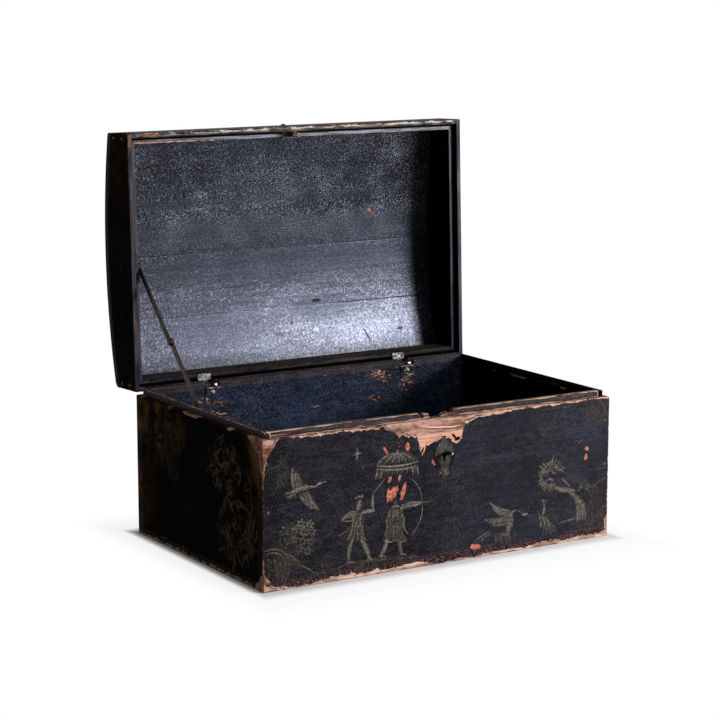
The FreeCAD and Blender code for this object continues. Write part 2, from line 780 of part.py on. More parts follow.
def stay_strap(start, end, width, x, thickness):
    """Flat bar between two points of a side, with round ends centred on them."""
    run = end - start
    half = width / 2
    side = V(0, -run.z, run.y).normalize() * half
    tip = V(run).normalize() * half
    shift = V(x - start.x, 0, 0)
    a = start + shift
    b = end + V(x - end.x, 0, 0)
    edges = [Part.makeLine(a + side, b + side), Part.Arc(b + side, b + tip, b - side).toShape(),
             Part.makeLine(b - side, a - side), Part.Arc(a - side, a - tip, a + side).toShape()]
    return Part.Face(Part.Wire(edges)).extrude(V(thickness, 0, 0))


def stay_eye(place, x, radius=stay_eye_radius, thickness=stay_thickness):
    """Round eye at the end of a bar, or a round head."""
    centre = V(x, place.y, place.z)
    return rod(centre, centre + V(thickness, 0, 0), radius)


def stay_bar(start, end, x, bores):
    """Bar of the stay with an eye at each end, bored for its pins."""
    bar = stay_strap(start, end, stay_width, x, stay_thickness)
    bar = bar.fuse([stay_eye(start, x), stay_eye(end, x)]).removeSplitter()
    return bar.cut([stay_eye(place, x, stay_pin_radius + clearance) for place, clearance in bores])


def stay_upper_bar():
    """Upper bar, from the lid's plate to the knee."""
    return stay_bar(stay_lid_open, stay_knee, upper_bar_x,
                    [(stay_lid_open, running_clearance), (stay_knee, nail_clearance)])


def stay_lower_bar():
    """Lower bar, from the knee to the foot, inside the upper one."""
    return stay_bar(stay_knee, stay_foot, lower_bar_x,
                    [(stay_knee, running_clearance), (stay_foot, nail_clearance)])


def stay_pin(place, x_start, heads):
    """Pin of the stay: a shank from a start to the inner face, with flat heads at given places."""
    inner = max(heads) + stay_head_height
    shank = rod(V(x_start, place.y, place.z), V(inner, place.y, place.z), stay_pin_radius)
    flats = [stay_eye(place, x, stay_head_radius, stay_head_height) for x in heads]
    return shank.fuse(flats).removeSplitter()


def stay_knee_rivet():
    """Rivet that joins the two bars, headed on both sides."""
    back_head = upper_bar_x - stay_head_height
    return stay_pin(stay_knee, back_head, [back_head, lower_bar_x + stay_thickness])


def stay_foot_rivet():
    """Rivet through the lower bar's foot, with a collar that faces the plate on the wall."""
    collar_start = upper_bar_x
    collar = stay_eye(stay_foot, collar_start, stay_head_radius, lower_bar_x - collar_start)
    return stay_pin(stay_foot, collar_start, [lower_bar_x + stay_thickness]).fuse(collar).removeSplitter()


def stay_lid_pin():
    """Pin in the lid's plate that the upper bar turns on, in the shut lid."""
    return stay_pin(stay_lid_shut, wall_x, [upper_bar_x + stay_thickness + stay_layer_gap / 2])


def stay_plate(place, tail, nail_places, bore):
    """Plate on a wall behind one end of the stay, with its tail nailed on."""
    plate = stay_strap(place, place + tail, stay_plate_width, wall_x, stay_plate_thickness)
    cuts = nail_holes(nail_places, short_nail_length)
    if bore:
        cuts.append(stay_eye(place, wall_x, stay_pin_radius + nail_clearance))
    return plate.cut(cuts)


def stay_lid_plate():
    """Plate on the lid's left end, running from the pivot towards the hinges."""
    tail = V(0, stay_plate_length - stay_eye_radius, 0)
    return stay_plate(stay_lid_shut, tail, lid_plate_nail_places, True)


def stay_foot_plate():
    """Plate on the left wall of the box, running down from the foot of the stay."""
    tail = V(0, 0, stay_eye_radius - stay_plate_length)
    return stay_plate(stay_foot, tail, foot_nail_places, False)


def box_pieces():
    """Pieces that stand still, by name."""
    pieces = {
        "front_board": front_board(), "back_board": back_board(),
        "left_end_board": end_board(-1), "right_end_board": end_board(1), "bottom_board": bottom_board(),
        "front_lip_left": front_lip(-1), "front_lip_right": front_lip(1),
        "left_lip": side_lip(-1), "right_lip": side_lip(1),
        "box_corner_nails": nail_group(corner_nail_places), "bottom_nails": nail_group(bottom_nail_places),
        "lock_plate": lock_plate(), "lock_top_plate": lock_top_plate(), "lock_keeper": lock_keeper(),
        "lock_stud": lock_stud(), "lock_spring": lock_spring(),
        "lock_nails": nail_group(lock_nail_places, short_nail_length),
        "escutcheon": escutcheon(), "escutcheon_pins": escutcheon_pins(), "hinge_rivets": hinge_rivets(),
        "stay_foot_plate": stay_foot_plate(),
        "stay_foot_nails": nail_group(foot_nail_places, short_nail_length)}
    pieces.update(back_lips())
    for side, x in hinge_places.items():
        pieces[side + "_hinge_box_leaf"] = hinge_box_leaf(x)
        pieces[side + "_hinge_pin"] = hinge_pin(x)
    return pieces


def lid_pieces():
    """Pieces that swing with the lid, by name, as they lie with the lid shut."""
    pieces = {
        "lid_front_rail": lid_front_rail(), "lid_back_rail": lid_back_rail(),
        "lid_left_end": lid_end(-1), "lid_right_end": lid_end(1),
        "lid_end_nails": nail_group(lid_end_nail_places), "stave_nails": nail_group(stave_nail_places),
        "hinge_nails": hinge_nails(), "lid_staple": lid_staple(), "staple_rivet": staple_rivet(),
        "staple_nails": nail_group(staple_nail_places, short_nail_length),
        "stay_lid_plate": stay_lid_plate(), "stay_lid_pin": stay_lid_pin(),
        "stay_lid_nails": nail_group(lid_plate_nail_places, short_nail_length)}
    for index in range(stave_count):
        pieces["lid_stave_" + str(index + 1)] = lid_stave(index)
    for side, x in hinge_places.items():
        pieces[side + "_hinge_lid_leaf"] = hinge_lid_leaf(x)
    return pieces


def stay_pieces():
    """The stay's bars and rivets as they lie with the lid open, and the bolt drawn back."""
    return {"stay_upper_bar": stay_upper_bar(), "stay_knee_rivet": stay_knee_rivet(),
            "stay_lower_bar": stay_lower_bar(), "stay_foot_rivet": stay_foot_rivet(),
            "lock_bolt": lock_bolt()}


def stay_turns():
    """Turns of the stay's two joints, in degrees, as the lid goes from open to shut."""
    chord = stay_lid_shut - stay_foot
    half_chord = math.hypot(chord.y, chord.z) / 2
    rise = math.sqrt(stay_bar_length ** 2 - half_chord ** 2)
    across = V(0, -chord.z, chord.y).normalize() * rise
    knee_shut = stay_foot + chord * 0.5 + across
    lower_shut = knee_shut - stay_foot
    upper_shut = stay_lid_shut - knee_shut
    before = cmath.phase(complex(stay_line.y, stay_line.z))
    lower = cmath.phase(complex(lower_shut.y, lower_shut.z)) % math.tau - before
    upper = cmath.phase(complex(upper_shut.y, upper_shut.z)) - before
    return math.degrees(upper) - open_angle, math.degrees(lower - upper), knee_shut


all_pieces = box_pieces()
all_pieces.update(stay_pieces())
all_pieces.update({name: opened(shape) for name, shape in lid_pieces().items()})
os.makedirs("parts", exist_ok=True)
for name, shape in all_pieces.items():
    shape.exportStep("parts/" + name + ".step")

upper_turn, knee_turn, knee_shut = stay_turns()
print("nodes", len(all_pieces), "solids", sum(len(shape.Solids) for shape in all_pieces.values()))
print("hinge axis y z", round(hinge_axis.y, 3), round(hinge_axis.z, 3))
print("stay upper pivot y z", round(stay_lid_open.y, 4), round(stay_lid_open.z, 4))
print("stay knee y z", round(stay_knee.y, 4), round(stay_knee.z, 4))
print("stay foot y z", round(stay_foot.y, 4), round(stay_foot.z, 4))
print("stay bar length", round(stay_bar_length, 3), "knee with the lid shut", knee_shut)
print("turns: upper bar", round(upper_turn, 5), "knee", round(knee_turn, 5))
print("ratios: upper bar", round(upper_turn / open_angle, 7), "knee", round(knee_turn / open_angle, 7))
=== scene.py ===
import bpy
import numpy as np
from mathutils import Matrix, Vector


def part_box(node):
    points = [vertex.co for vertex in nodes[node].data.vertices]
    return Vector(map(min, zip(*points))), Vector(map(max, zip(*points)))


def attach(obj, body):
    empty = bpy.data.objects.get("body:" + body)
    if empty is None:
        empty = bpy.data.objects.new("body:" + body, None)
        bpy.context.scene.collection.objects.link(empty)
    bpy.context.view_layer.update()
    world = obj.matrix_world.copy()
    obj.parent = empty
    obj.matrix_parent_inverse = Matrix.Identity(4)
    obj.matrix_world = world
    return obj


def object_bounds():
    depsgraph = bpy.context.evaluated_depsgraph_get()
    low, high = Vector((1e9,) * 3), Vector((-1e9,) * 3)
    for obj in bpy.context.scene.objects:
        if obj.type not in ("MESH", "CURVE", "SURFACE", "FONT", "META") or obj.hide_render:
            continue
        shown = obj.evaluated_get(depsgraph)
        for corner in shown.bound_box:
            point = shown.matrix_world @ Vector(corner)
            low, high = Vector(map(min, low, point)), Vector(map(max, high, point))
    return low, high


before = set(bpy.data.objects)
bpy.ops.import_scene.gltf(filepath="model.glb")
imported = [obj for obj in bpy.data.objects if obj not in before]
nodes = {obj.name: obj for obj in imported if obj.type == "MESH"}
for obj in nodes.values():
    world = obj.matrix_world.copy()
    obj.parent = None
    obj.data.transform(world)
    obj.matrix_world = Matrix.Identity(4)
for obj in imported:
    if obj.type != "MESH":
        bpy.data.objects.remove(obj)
cad_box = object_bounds()


# The bottom board: one wide softwood board, nailed up under the four walls from below. Its planed edges
# were lacquered once, and handling has rubbed them bare. Its inner face is lacquered like the walls inside.
half_length, half_depth, wall_top, wall_foot = 0.300, 0.195, 0.216, 0.012


class Shade:
    """A number or colour that changes over a surface: one socket among a material's nodes.
    Sums, products and comparisons of these add the nodes that work them out."""

    def __init__(self, tree, socket=None):
        self.tree = tree
        self.socket = socket

    def node(self, kind, settings=None, inputs=None, output=0):
        """Adds any node: its settings are set first, then its sockets' values or links."""
        made = self.tree.nodes.new("ShaderNode" + kind)
        for key, value in (settings or {}).items():
            if key == "stops":
                self.set_stops(made.color_ramp, value)
            else:
                setattr(made, key, value)
        for key, value in (inputs or {}).items():
            if isinstance(value, Shade):
                self.tree.links.new(value.socket, made.inputs[key])
            else:
                made.inputs[key].default_value = value
        return Shade(self.tree, made.outputs[output])

    def set_stops(self, ramp, stops):
        """A ramp's stops as pairs of place and grey level, each from 0 to 1."""
        for _ in stops[2:]:
            ramp.elements.new(0.5)
        for element, (place, level) in zip(ramp.elements, stops):
            element.position = place
            element.color = (level, level, level, 1)

    def maths(self, operation, *values):
        """A Math node on numbers or shades."""
        return self.node("Math", {"operation": operation}, dict(enumerate(values)))

    def __add__(self, other):
        return self.maths("ADD", self, other)

    __radd__ = __add__

    def __sub__(self, other):
        return self.maths("SUBTRACT", self, other)

    def __rsub__(self, other):
        return self.maths("SUBTRACT", other, self)

    def __mul__(self, other):
        return self.maths("MULTIPLY", self, other)

    __rmul__ = __mul__

    def __abs__(self):
        return self.maths("ABSOLUTE", self)

    def least(self, other):
        return self.maths("MINIMUM", self, other)

    def most(self, other):
        return self.maths("MAXIMUM", self, other)

    def length(self):
        """How far a point lies from the origin."""
        return self.node("VectorMath", {"operation": "LENGTH"}, {0: self}, "Value")

    def rise(self, low, high):
        """0 at low and 1 at high, with a soft step between them."""
        return self.node("MapRange", {"interpolation_type": "SMOOTHSTEP"}, {0: self, 1: low, 2: high})

    def mix(self, low, high):
        """The colour low where this is 0, and the colour high where it is 1."""
        return self.node("Mix", {"data_type": "RGBA"}, {0: self, 6: low, 7: high}, 2)

    def axis(self, number):
        """One coordinate of a point, in metres."""
        return self.node("SeparateXYZ", None, {0: self}, number)

    def noise(self, scale, stretch=(1, 1, 1), detail=3.0):
        """A cloudy pattern from 0 to 1, with about scale clouds in a metre times the stretch of each axis."""
        drawn_out = self.node("Mapping", None, {"Vector": self, "Scale": stretch})
        return self.node("TexNoise", None, {"Vector": drawn_out, "Scale": scale, "Detail": detail})

    def along_line(self, first, last, depths):
        """A depth that changes along one coordinate: pairs of place and depth, straight between them."""
        deepest = max(depth for place, depth in depths)
        stops = [((place - first) / (last - first), depth / deepest) for place, depth in depths]
        way = (self - first) * (1 / (last - first))
        return self.node("ValToRGB", {"stops": stops}, {0: way}) * deepest


def paint(red, green, blue):
    """A colour given as on a screen, 0 to 255, turned into the linear values that a shader takes."""
    level = np.array((red, green, blue)) / 255
    linear = np.where(level < 0.04045, level / 12.92, ((level + 0.055) / 1.055) ** 2.4)
    return (*linear.tolist(), 1.0)


def start(name):
    """A new material, and the point of the surface, in metres, that its patterns read."""
    material = bpy.data.materials.new(name)
    material.use_nodes = True
    return material, Shade(material.node_tree).node("TexCoord", None, None, "Object")


def finish(material, colour, roughness, height, relief, varying=None, **constants):
    """Joins the worked-out colour, roughness and other varying values to the surface shader, with a relief
    that follows height and is so many metres deep, and sets its plain numbers."""
    shader = material.node_tree.nodes["Principled BSDF"]
    bump = height.node("Bump", None, {"Strength": 1.0, "Distance": relief, "Height": height})
    joined = {"Base Color": colour, "Roughness": roughness, "Normal": bump, **(varying or {})}
    for name, shade in joined.items():
        material.node_tree.links.new(shade.socket, shader.inputs[name])
    for name, value in constants.items():
        shader.inputs[name.replace("_", " ")].default_value = value
    return material


def dress(material, *names):
    """Gives the material to CAD nodes by name."""
    for name in names:
        nodes[name].material_slots[0].material = material


def grain(along, share):
    """How a pattern is drawn out along one axis of the wood."""
    return tuple(share if axis == along else 1.0 for axis in range(3))


def layered(colour, *coats):
    """A colour under other colours, one after another, each as strong as its own mask."""
    for mask, tint in coats:
        colour = mask.mix(colour, tint)
    return colour


def bare_wood(point, along):
    """Planed softwood: pale and dark bands and fibres along the grain, with thin dirty streaks and cracks."""
    bands = point.noise(60, grain(along, 0.07)).rise(0.30, 0.66)
    fibres = point.noise(420, grain(along, 0.12)).rise(0.34, 0.66)
    streaks = point.noise(260, grain(along, 0.04), 2.0).rise(0.54, 0.66)
    grime = point.noise(60, grain(along, 0.4), 5.0).rise(0.50, 0.66)
    cracks = abs(point.noise(70, grain(along, 0.10), 2.0) - 0.5).rise(0.014, 0.004)
    colour = bands.mix(paint(156, 110, 93), paint(212, 168, 149))
    return layered(colour, (fibres * 0.35, paint(230, 196, 182)), (streaks * 0.65, paint(116, 78, 64)),
                   (grime * 0.8, paint(78, 58, 52)), (cracks * 0.8, paint(40, 28, 25)))


grey_mist = paint(88, 84, 96)


def aged(point, along, tones, bloom, dust, mist=grey_mist):
    """The colour of old lacquer: uneven dark tones, blotches, a fine bloom in the colour mist, hair
    scratches, rubbing along the board and specks of dust."""
    cloud = point.noise(9, detail=5.0).rise(0.34, 0.66)
    blotches = point.noise(130, grain(along, 0.4), 4.0).rise(0.42, 0.66)
    pores = point.noise(430).rise(0.48, 0.66)
    rubbed = point.noise(280, grain(along, 0.06), 4.0).rise(0.50, 0.66)
    hairs = abs(point.noise(46, detail=4.0) - 0.5).rise(0.012, 0.002) * point.noise(17).rise(0.42, 0.60)
    specks = (point.noise(640, detail=1.0) + point.noise(13) * 0.30).rise(0.74, 0.88)
    return layered(cloud.mix(*tones), ((pores + blotches * 0.5) * bloom, mist),
                   ((rubbed * 0.30).most(hairs) * bloom, paint(100, 99, 112)),
                   (specks * dust, paint(204, 206, 216)))


break_edge = 0.0006


def broken(point, colour, inside, along, soil, rim=0.7):
    """A lacquered colour with its broken area: inside gives how many metres a point lies in it. From the
    edge in come a brown line, a pale rim of gesso with a crack beside it, and wood, brown by the share soil.
    Rim is the gesso's share."""
    patchy = point.noise(36, detail=2.0)
    gesso = inside.rise(0, break_edge) * inside.rise(0.0026, 0.0012) * patchy.rise(0.44, 0.54)
    crack = abs(inside - 0.0036).rise(0.0016, 0.0006) * patchy.rise(0.44, 0.52)
    timber = layered(bare_wood(point, along), (crack * 0.85, paint(34, 22, 18)),
                     (gesso * rim, paint(222, 190, 168)))
    if soil:
        timber = soil(point).mix(timber, paint(96, 62, 44))
    return layered(colour, (inside.rise(-0.0018, -0.0004), paint(52, 30, 25)),
                   (inside.rise(0, break_edge), timber))


def end_soil(point):
    """Brown dirt all over the bare wood, as on the inside and the ends."""
    return point.noise(50, detail=4.0).rise(0.30, 0.60) * 0.40 + 0.30


def foot_flakes(point):
    """Small pink and red bits of the ground coat, broken out along the foot of the front."""
    spread = point.noise(40, grain(0, 0.5)) * 0.018
    bits = point.noise(430, (0.7, 1, 1), 4.0).rise(0.50, 0.60)
    return bits * (point.axis(2) - spread).rise(0.010, 0.001) * 0.7


def from_end(point):
    """Metres in from the nearer end of the coffer."""
    return half_length - abs(point.axis(0))


ground_pink = paint(122, 78, 74)


def rubbed_edge():
    """Softwood, rubbed bare up to a height that changes along the front, dark lacquer above that, and
    scuffed blue-black lacquer on the inner face."""
    material, point = start("rubbed_edge")
    x, height = point.axis(0), point.axis(2)
    bare_heights = [(-0.300, 0.011), (-0.275, 0.004), (-0.255, 0.003), (-0.190, 0.007), (-0.155, 0.008),
                    (-0.083, 0.005), (-0.045, 0.007), (-0.020, 0.0015), (0.018, 0.0015), (0.028, 0.0045),
                    (0.080, 0.0025), (0.140, 0.004), (0.245, 0.007), (0.285, 0.007), (0.300, 0.011)]
    on_ends = from_end(point).rise(0.0025, 0.0005)
    at_corner = point.axis(1).rise(-0.168, -0.184) * 0.012 + 0.0045
    bare = x.along_line(-half_length, half_length, bare_heights) * (1 - on_ends) + on_ends * at_corner
    ragged = point.noise(80, grain(0, 0.5), 5.0) * 0.018 + point.noise(300) * 0.006 - 0.012
    painted = (height + ragged - bare).rise(-break_edge, break_edge)
    below = (height + ragged * 0.2).rise(0.0016, 0.0004)
    mottled = point.noise(90, grain(0, 0.4), 5.0).rise(0.46, 0.62)
    bleached = point.noise(150, grain(0, 0.3), 4.0).rise(0.36, 0.62)
    wood = layered(bare_wood(point, 0), (bleached * 0.6, paint(226, 200, 178)),
                   (mottled * 0.6, paint(124, 86, 66)), (on_ends * 0.6, paint(84, 52, 38)))
    coat = aged(point, 0, (paint(7, 6, 9), paint(19, 17, 23)), 0.19, 0.06)
    coat = layered(coat, (foot_flakes(point), ground_pink), (on_ends, paint(6, 4, 3)))
    lacquered = aged(point, 0, (paint(5, 6, 10), paint(15, 17, 27)), 0.20, 0.16, paint(74, 84, 106))
    scuffs = (point.noise(16, grain(0, 0.4), 5.0) - 0.63) * 0.03
    lacquered = broken(point, lacquered, scuffs, 0, end_soil)
    colour = layered(wood, (painted, coat), (below * 0.6, paint(66, 48, 41)),
                     (height.rise(wall_foot - 0.0004, wall_foot - 0.0001), lacquered))
    roughness = point.noise(30) * 0.2 + 0.6
    relief = point.noise(160, grain(0, 0.1)) - painted * 0.3
    return finish(material, colour, roughness, relief, 0.0006, Specular_IOR_Level=0.02)


dress(rubbed_edge(), "bottom_board")


# The front board: one softwood board, lacquered blue-black over a red ground, full length across the box.
# Keys and hands have broken the lacquer off the upper arris, most of all over the lock, and off the corners.
def flakes(point, places):
    """Loose flakes as ellipses: each has its centre, half sizes and turn about an axis. It is above 0
    inside a flake and its edge is torn by noise."""
    torn = point.noise(230, detail=4.0) * 1.1 - 0.55
    nearest = None
    for centre, half_sizes, turn in places:
        inputs = {"Vector": point, "Location": centre, "Rotation": turn, "Scale": half_sizes}
        reach = point.node("Mapping", {"vector_type": "TEXTURE"}, inputs).length()
        nearest = reach if nearest is None else nearest.least(reach)
    return 1 - nearest + torn


def wall_flakes(point, rows, face=-half_depth, reach=1):
    """Flakes on a long wall, with its face at one depth, that reach so far in. Each row gives a flake's
    place along and up, its half sizes along and up, and its turn in degrees."""
    return flakes(point, [((x, face, z), (half_x, reach, half_z), (0, np.radians(turn), 0))
                          for x, z, half_x, half_z, turn in rows])


def lacquer(name, worn, along=0, tones=(paint(6, 5, 8), paint(18, 16, 22)), bloom=0.18, dust=0.08,
            mist=grey_mist, gloss=None, level=0.004, rough=0.4, craze=0.7, stains_and_painted_light=(), soil=None, rim=0.7,
            marks_and_painted_light=()):
    """Old lacquer on wood. Worn gives the broken area and gloss the share of clear coat left. The stains,
    each a mask with a colour over the bloom, are real wear and discolouring, painted sheen and painted
    shade; the marks are the same on the bare wood, a painted highlight and painted shade among them.
    Level is how much the lacquer reflects, rough how dull it is, and craze how deep its pores are."""
    material, point = start(name)
    colour = aged(point, along, tones, bloom, dust, mist)
    colour = layered(colour, *((mask(point), tint) for mask, tint in stains_and_painted_light))
    inside = worn(point)
    wood = inside.rise(0, break_edge)
    colour = broken(point, colour, inside, along, soil, rim)
    colour = layered(colour, *((mask(point) * wood, tint) for mask, tint in marks_and_painted_light))
    pores = point.noise(430)
    roughness = wood * (0.9 - rough) + point.noise(9, detail=5.0) * 0.2 + pores * 0.16 + (rough - 0.13)
    relief = pores * craze + point.noise(120, grain(along, 0.08), 4.0) * 0.3 - wood
    varying = {}
    if gloss:
        varying["Coat Weight"] = gloss(point) * (1 - wood) * (1 - pores.rise(0.42, 0.66) * 0.7)
    return finish(material, colour, roughness, relief, 0.00035, varying, Specular_IOR_Level=level,
                  Coat_Roughness=0.3, Coat_Tint=(0.86, 0.86, 1.0, 1), Specular_Tint=(0.82, 0.85, 1.0, 1))


def front_wear(point):
    """Metres inside the broken lacquer: a depth down from the top along the length, a depth in from each
    corner up the height, and a little along the foot."""
    x, y, z = (point.axis(a) for a in range(3))
    torn = point.noise(150, detail=5.0) - 0.5
    scallops = abs(point.noise(70, detail=2.0) - 0.5) * 5 - 0.5
    behind_face = y + half_depth
    top_depths = [(-0.300, 0.002), (-0.262, 0.0005), (-0.250, 0.0015), (-0.205, 0.0035), (-0.170, 0.0010),
                  (-0.156, 0.0040), (-0.136, 0.0045), (-0.100, 0.004), (-0.088, 0.014), (-0.066, 0.021),
                  (-0.046, 0.026), (-0.042, 0.042), (-0.038, 0.054), (-0.032, 0.040), (-0.021, 0.036),
                  (-0.010, 0.031), (0.000, 0.028), (0.012, 0.034), (0.022, 0.043), (0.030, 0.034),
                  (0.035, 0.015), (0.056, 0.007), (0.110, 0.0035), (0.150, 0.0012), (0.165, 0.0032),
                  (0.178, 0.0010), (0.205, 0.0038), (0.216, 0.0006), (0.235, 0.0036), (0.262, 0.0010),
                  (0.300, 0.003)]
    top = x.along_line(-half_length, half_length, top_depths)
    over_lock = x.rise(-0.115, -0.095) * x.rise(0.050, 0.036) * 0.004 + 0.0012
    top = top + torn * 0.007 + scallops * over_lock - (wall_top - z).most(behind_face * 0.25)
    left_depths = [(0.0, 0.020), (0.010, 0.014), (0.026, 0.0016), (0.090, 0.0004), (0.150, 0.0008),
                   (0.176, 0.0045), (0.190, 0.0075), (0.216, 0.026)]
    left = z.along_line(0.0, wall_top, left_depths) + torn * 0.005 - (x + half_length).most(behind_face * 0.8)
    right_depths = [(0.0, 0.004), (0.010, 0.005), (0.026, 0.007), (0.036, 0.0014), (0.216, 0.0012)]
    right = z.along_line(0.0, wall_top, right_depths) + torn * 0.005 - (half_length - x).most(behind_face)
    foot = point.noise(38, (1, 1, 0.2), 4.0) * 0.026 - 0.0172 - (z - wall_foot)
    return top.most(left).most(right).most(foot)


def red_ground(point):
    """Places on the front where only the top coat has flaked away and the red ground coat shows."""
    rows = [(-0.0885, 0.1150, 0.0140, 0.0068, -50), (-0.0950, 0.1145, 0.0100, 0.0036, -85),
            (-0.0700, 0.1155, 0.0132, 0.0042, -72), (-0.0930, 0.1360, 0.0056, 0.0029, -60),
            (-0.0765, 0.1365, 0.0060, 0.0026, -70), (-0.1000, 0.1790, 0.0078, 0.0019, 58),
            (-0.0630, 0.1805, 0.0066, 0.0042, 80), (-0.017, 0.152, 0.0065, 0.0038, 40),
            (0.258, 0.141, 0.0045, 0.0032, 20), (0.257, 0.128, 0.0036, 0.0046, 0),
            (0.056, 0.017, 0.0110, 0.0045, 10)]
    return wall_flakes(point, rows).rise(0.0, 0.25)


def flake_hearts(point):
    """The paler hearts of those places, where the ground coat is rubbed thin."""
    return red_ground(point) * point.noise(190).rise(0.44, 0.58) * 0.8


def pink_specks(point):
    """A few pinhead spots of the same ground, strewn over the front."""
    return (point.noise(330, detail=1.0) + point.noise(30, detail=2.0) * 0.4).rise(1.01, 1.06)


def blue_haze(point):
    """Bloom on the right half of the front, where the lacquer has gone cloudy blue."""
    return point.axis(0).rise(-0.10, 0.22) * point.noise(14, (0.5, 1, 1.4), 5.0).rise(0.42, 0.72) * 0.8


def cloudy_places(point):
    """Three places on the right half where that bloom is thickest."""
    rows = [(0.258, 0.170, 0.050, 0.026, 0), (0.096, 0.145, 0.046, 0.009, 0), (0.232, 0.098, 0.034, 0.012, 0)]
    streaks = point.noise(200, grain(0, 0.3), 4.0).rise(0.34, 0.62)
    return wall_flakes(point, rows).rise(-0.4, 0.9) * streaks * 0.6


def brown_places(point):
    """Places on the front where the black coat has worn to brown: by the right corners and over the rocks."""
    rows = [(0.282, 0.196, 0.026, 0.020, 0), (0.270, 0.034, 0.034, 0.020, 0),
            (-0.270, 0.034, 0.022, 0.026, 0)]
    return wall_flakes(point, rows).rise(-0.3, 0.7) * point.noise(170, detail=5.0).rise(0.42, 0.62) * 0.7


def board_ends(point):
    """1 on the two ends of a long board, which were lacquered brown-black with the coffer's ends."""
    return from_end(point).rise(0.0006, 0.0002)


def brown_smear(point):
    """Thin brown places beside the corners and in the gilt sprays, where the black coat has rubbed away."""
    y, z = point.axis(1), point.axis(2)
    front_side = y.rise(-0.135, -0.180) * z.rise(0.090, 0.180)
    back_side = y.rise(0.125, 0.190) * (z.rise(0.030, 0.190) * 0.7 + 0.3)
    uneven = point.noise(22) * 0.12 - 0.06
    spray = (y + uneven).rise(0.035, 0.085) * (z + uneven).rise(0.110, 0.170) * 0.9
    on_face = from_end(point).rise(0.0010, 0.0002)
    return front_side.most(back_side).most(spray) * on_face * point.noise(26, detail=5.0).rise(0.38, 0.62)


def front_gloss(point):
    """Clear coat left on the front face, more to the right, and none on the board's ends."""
    return from_end(point).rise(0.0006, 0.0016) * (point.axis(0).rise(-0.20, 0.28) * 0.16 + 0.10)


def front_soil(point):
    """Brown dirt in the bare wood: most at the left corner, and some in streaks along the upper arris."""
    x = point.axis(0)
    streaks = point.noise(34, grain(0, 0.25), 4.0).rise(0.46, 0.62)
    fine_streaks = point.noise(330, grain(0, 0.04), 4.0).rise(0.44, 0.58)
    on_top = (point.axis(1) + half_depth).rise(0.0005, 0.0025)
    beside_lock = x.rise(-0.020, -0.090).most(x.rise(0.03, 0.09))
    patches = point.noise(130, (1, 1, 0.5), 5.0).rise(0.42, 0.60)
    corner = x.rise(-0.258, -0.274) * (patches * 0.55 + 0.10) + x.rise(-0.2930, -0.2985) * 0.25
    mottled = point.noise(150, grain(0, 0.5), 5.0).rise(0.50, 0.64) * point.axis(2).rise(0.190, 0.204)
    return corner + (streaks * beside_lock * 0.30).most(fine_streaks * on_top * 0.55).most(mottled * 0.50)


def groove(point, above):
    """A line along the long shallow groove that a tool has left in the bare wood over the lock, drawn only in
    colour: a bowed line, so many metres above its bottom, that fades out at both ends."""
    x = point.axis(0)
    bow = (x - 0.012) * (x - 0.012) * 2.4
    uneven = point.noise(60, detail=2.0) * 0.003
    fading = x.rise(-0.052, -0.020) * x.rise(0.034, 0.012)
    return abs(point.axis(2) + uneven - bow - above - 0.2020).rise(0.0013, 0.0003) * fading


def groove_painted_highlight(point):
    """Painted highlight on the upper side of the groove."""
    return groove(point, 0.0011) * 0.75


def groove_painted_shade(point):
    """Painted shade on the lower side of the groove."""
    return groove(point, -0.0011) * 0.80


def orange_rub(point):
    """Newer, orange wood low in the patch over the lock."""
    x, z = point.axis(0), point.axis(2)
    here = x.rise(-0.095, -0.080) * x.rise(0.050, 0.040) * z.rise(0.199, 0.188)
    return here * point.noise(70, detail=4.0).rise(0.34, 0.60) * 0.6


def torn_splinter(point):
    """Dark holes where splinters have gone from the patch."""
    rows = [(0.0170, 0.1870, 0.0064, 0.0020, 48), (0.0225, 0.1825, 0.0060, 0.0026, -20),
            (-0.0380, 0.1710, 0.0064, 0.0018, -62)]
    return wall_flakes(point, rows).rise(-0.1, 0.2)


black_ends = (board_ends, paint(5, 4, 3))
brown_rub = (brown_smear, paint(80, 58, 30))
front_stains = ((blue_haze, paint(29, 31, 43)), (cloudy_places, paint(50, 55, 72)),
                (brown_places, paint(82, 64, 52)), (foot_flakes, ground_pink),
                (pink_specks, paint(176, 134, 132)), (red_ground, paint(160, 84, 65)),
                (flake_hearts, paint(206, 134, 112)), black_ends, brown_rub)
# The groove's pale and dark lines are a painted highlight and a painted shade.
wood_marks_and_painted_light = ((orange_rub, paint(232, 162, 116)), (groove_painted_shade, paint(92, 56, 44)),
              (groove_painted_highlight, paint(240, 214, 200)), (torn_splinter, paint(24, 13, 10)))
front_finish = lacquer("front_lacquer", front_wear, gloss=front_gloss, stains_and_painted_light=front_stains, soil=front_soil,
                       marks_and_painted_light=wood_marks_and_painted_light)
dress(front_finish, "front_board")


# The gilding on the front: cranes, a tree, rocks and two robed figures under a fringed parasol, in the
# manner of old lacquer work. It is size and metal powder laid on with a brush, slightly raised, now worn.
# Its places, lengths and widths are in millimetres along and up the face.
strong, weak = 1.14, 0.70


def strokes(*rows):
    """Single brush strokes. Each row gives its start, its end, its width, its bend and its strength."""
    return np.array(rows) * (1, 1, 1, 1, 1, 1, strong)


def fan(start_a, start_b, end_a, end_b, count, width, bend=0.0, tone=1.0):
    """A row of brush strokes, spread evenly from one start to the other and one end to the other, every
    second one weak. Bend is a share of the length, one number or a pair for the first and last stroke."""
    step = np.linspace(0, 1, count)[:, None]
    starts = np.array(start_a) * (1 - step) + np.array(start_b) * step
    ends = np.array(end_a) * (1 - step) + np.array(end_b) * step
    first_bend, last_bend = bend if isinstance(bend, tuple) else (bend, bend)
    bends = first_bend * (1 - step) + last_bend * step
    strength = tone * np.where(np.arange(count) % 2, weak, strong)[:, None]
    return np.hstack([starts, ends, np.full_like(step, width), bends, strength])


def headings(turn):
    """The directions of some turns, as unit steps along and up."""
    return np.column_stack([np.cos(turn), np.sin(turn)])


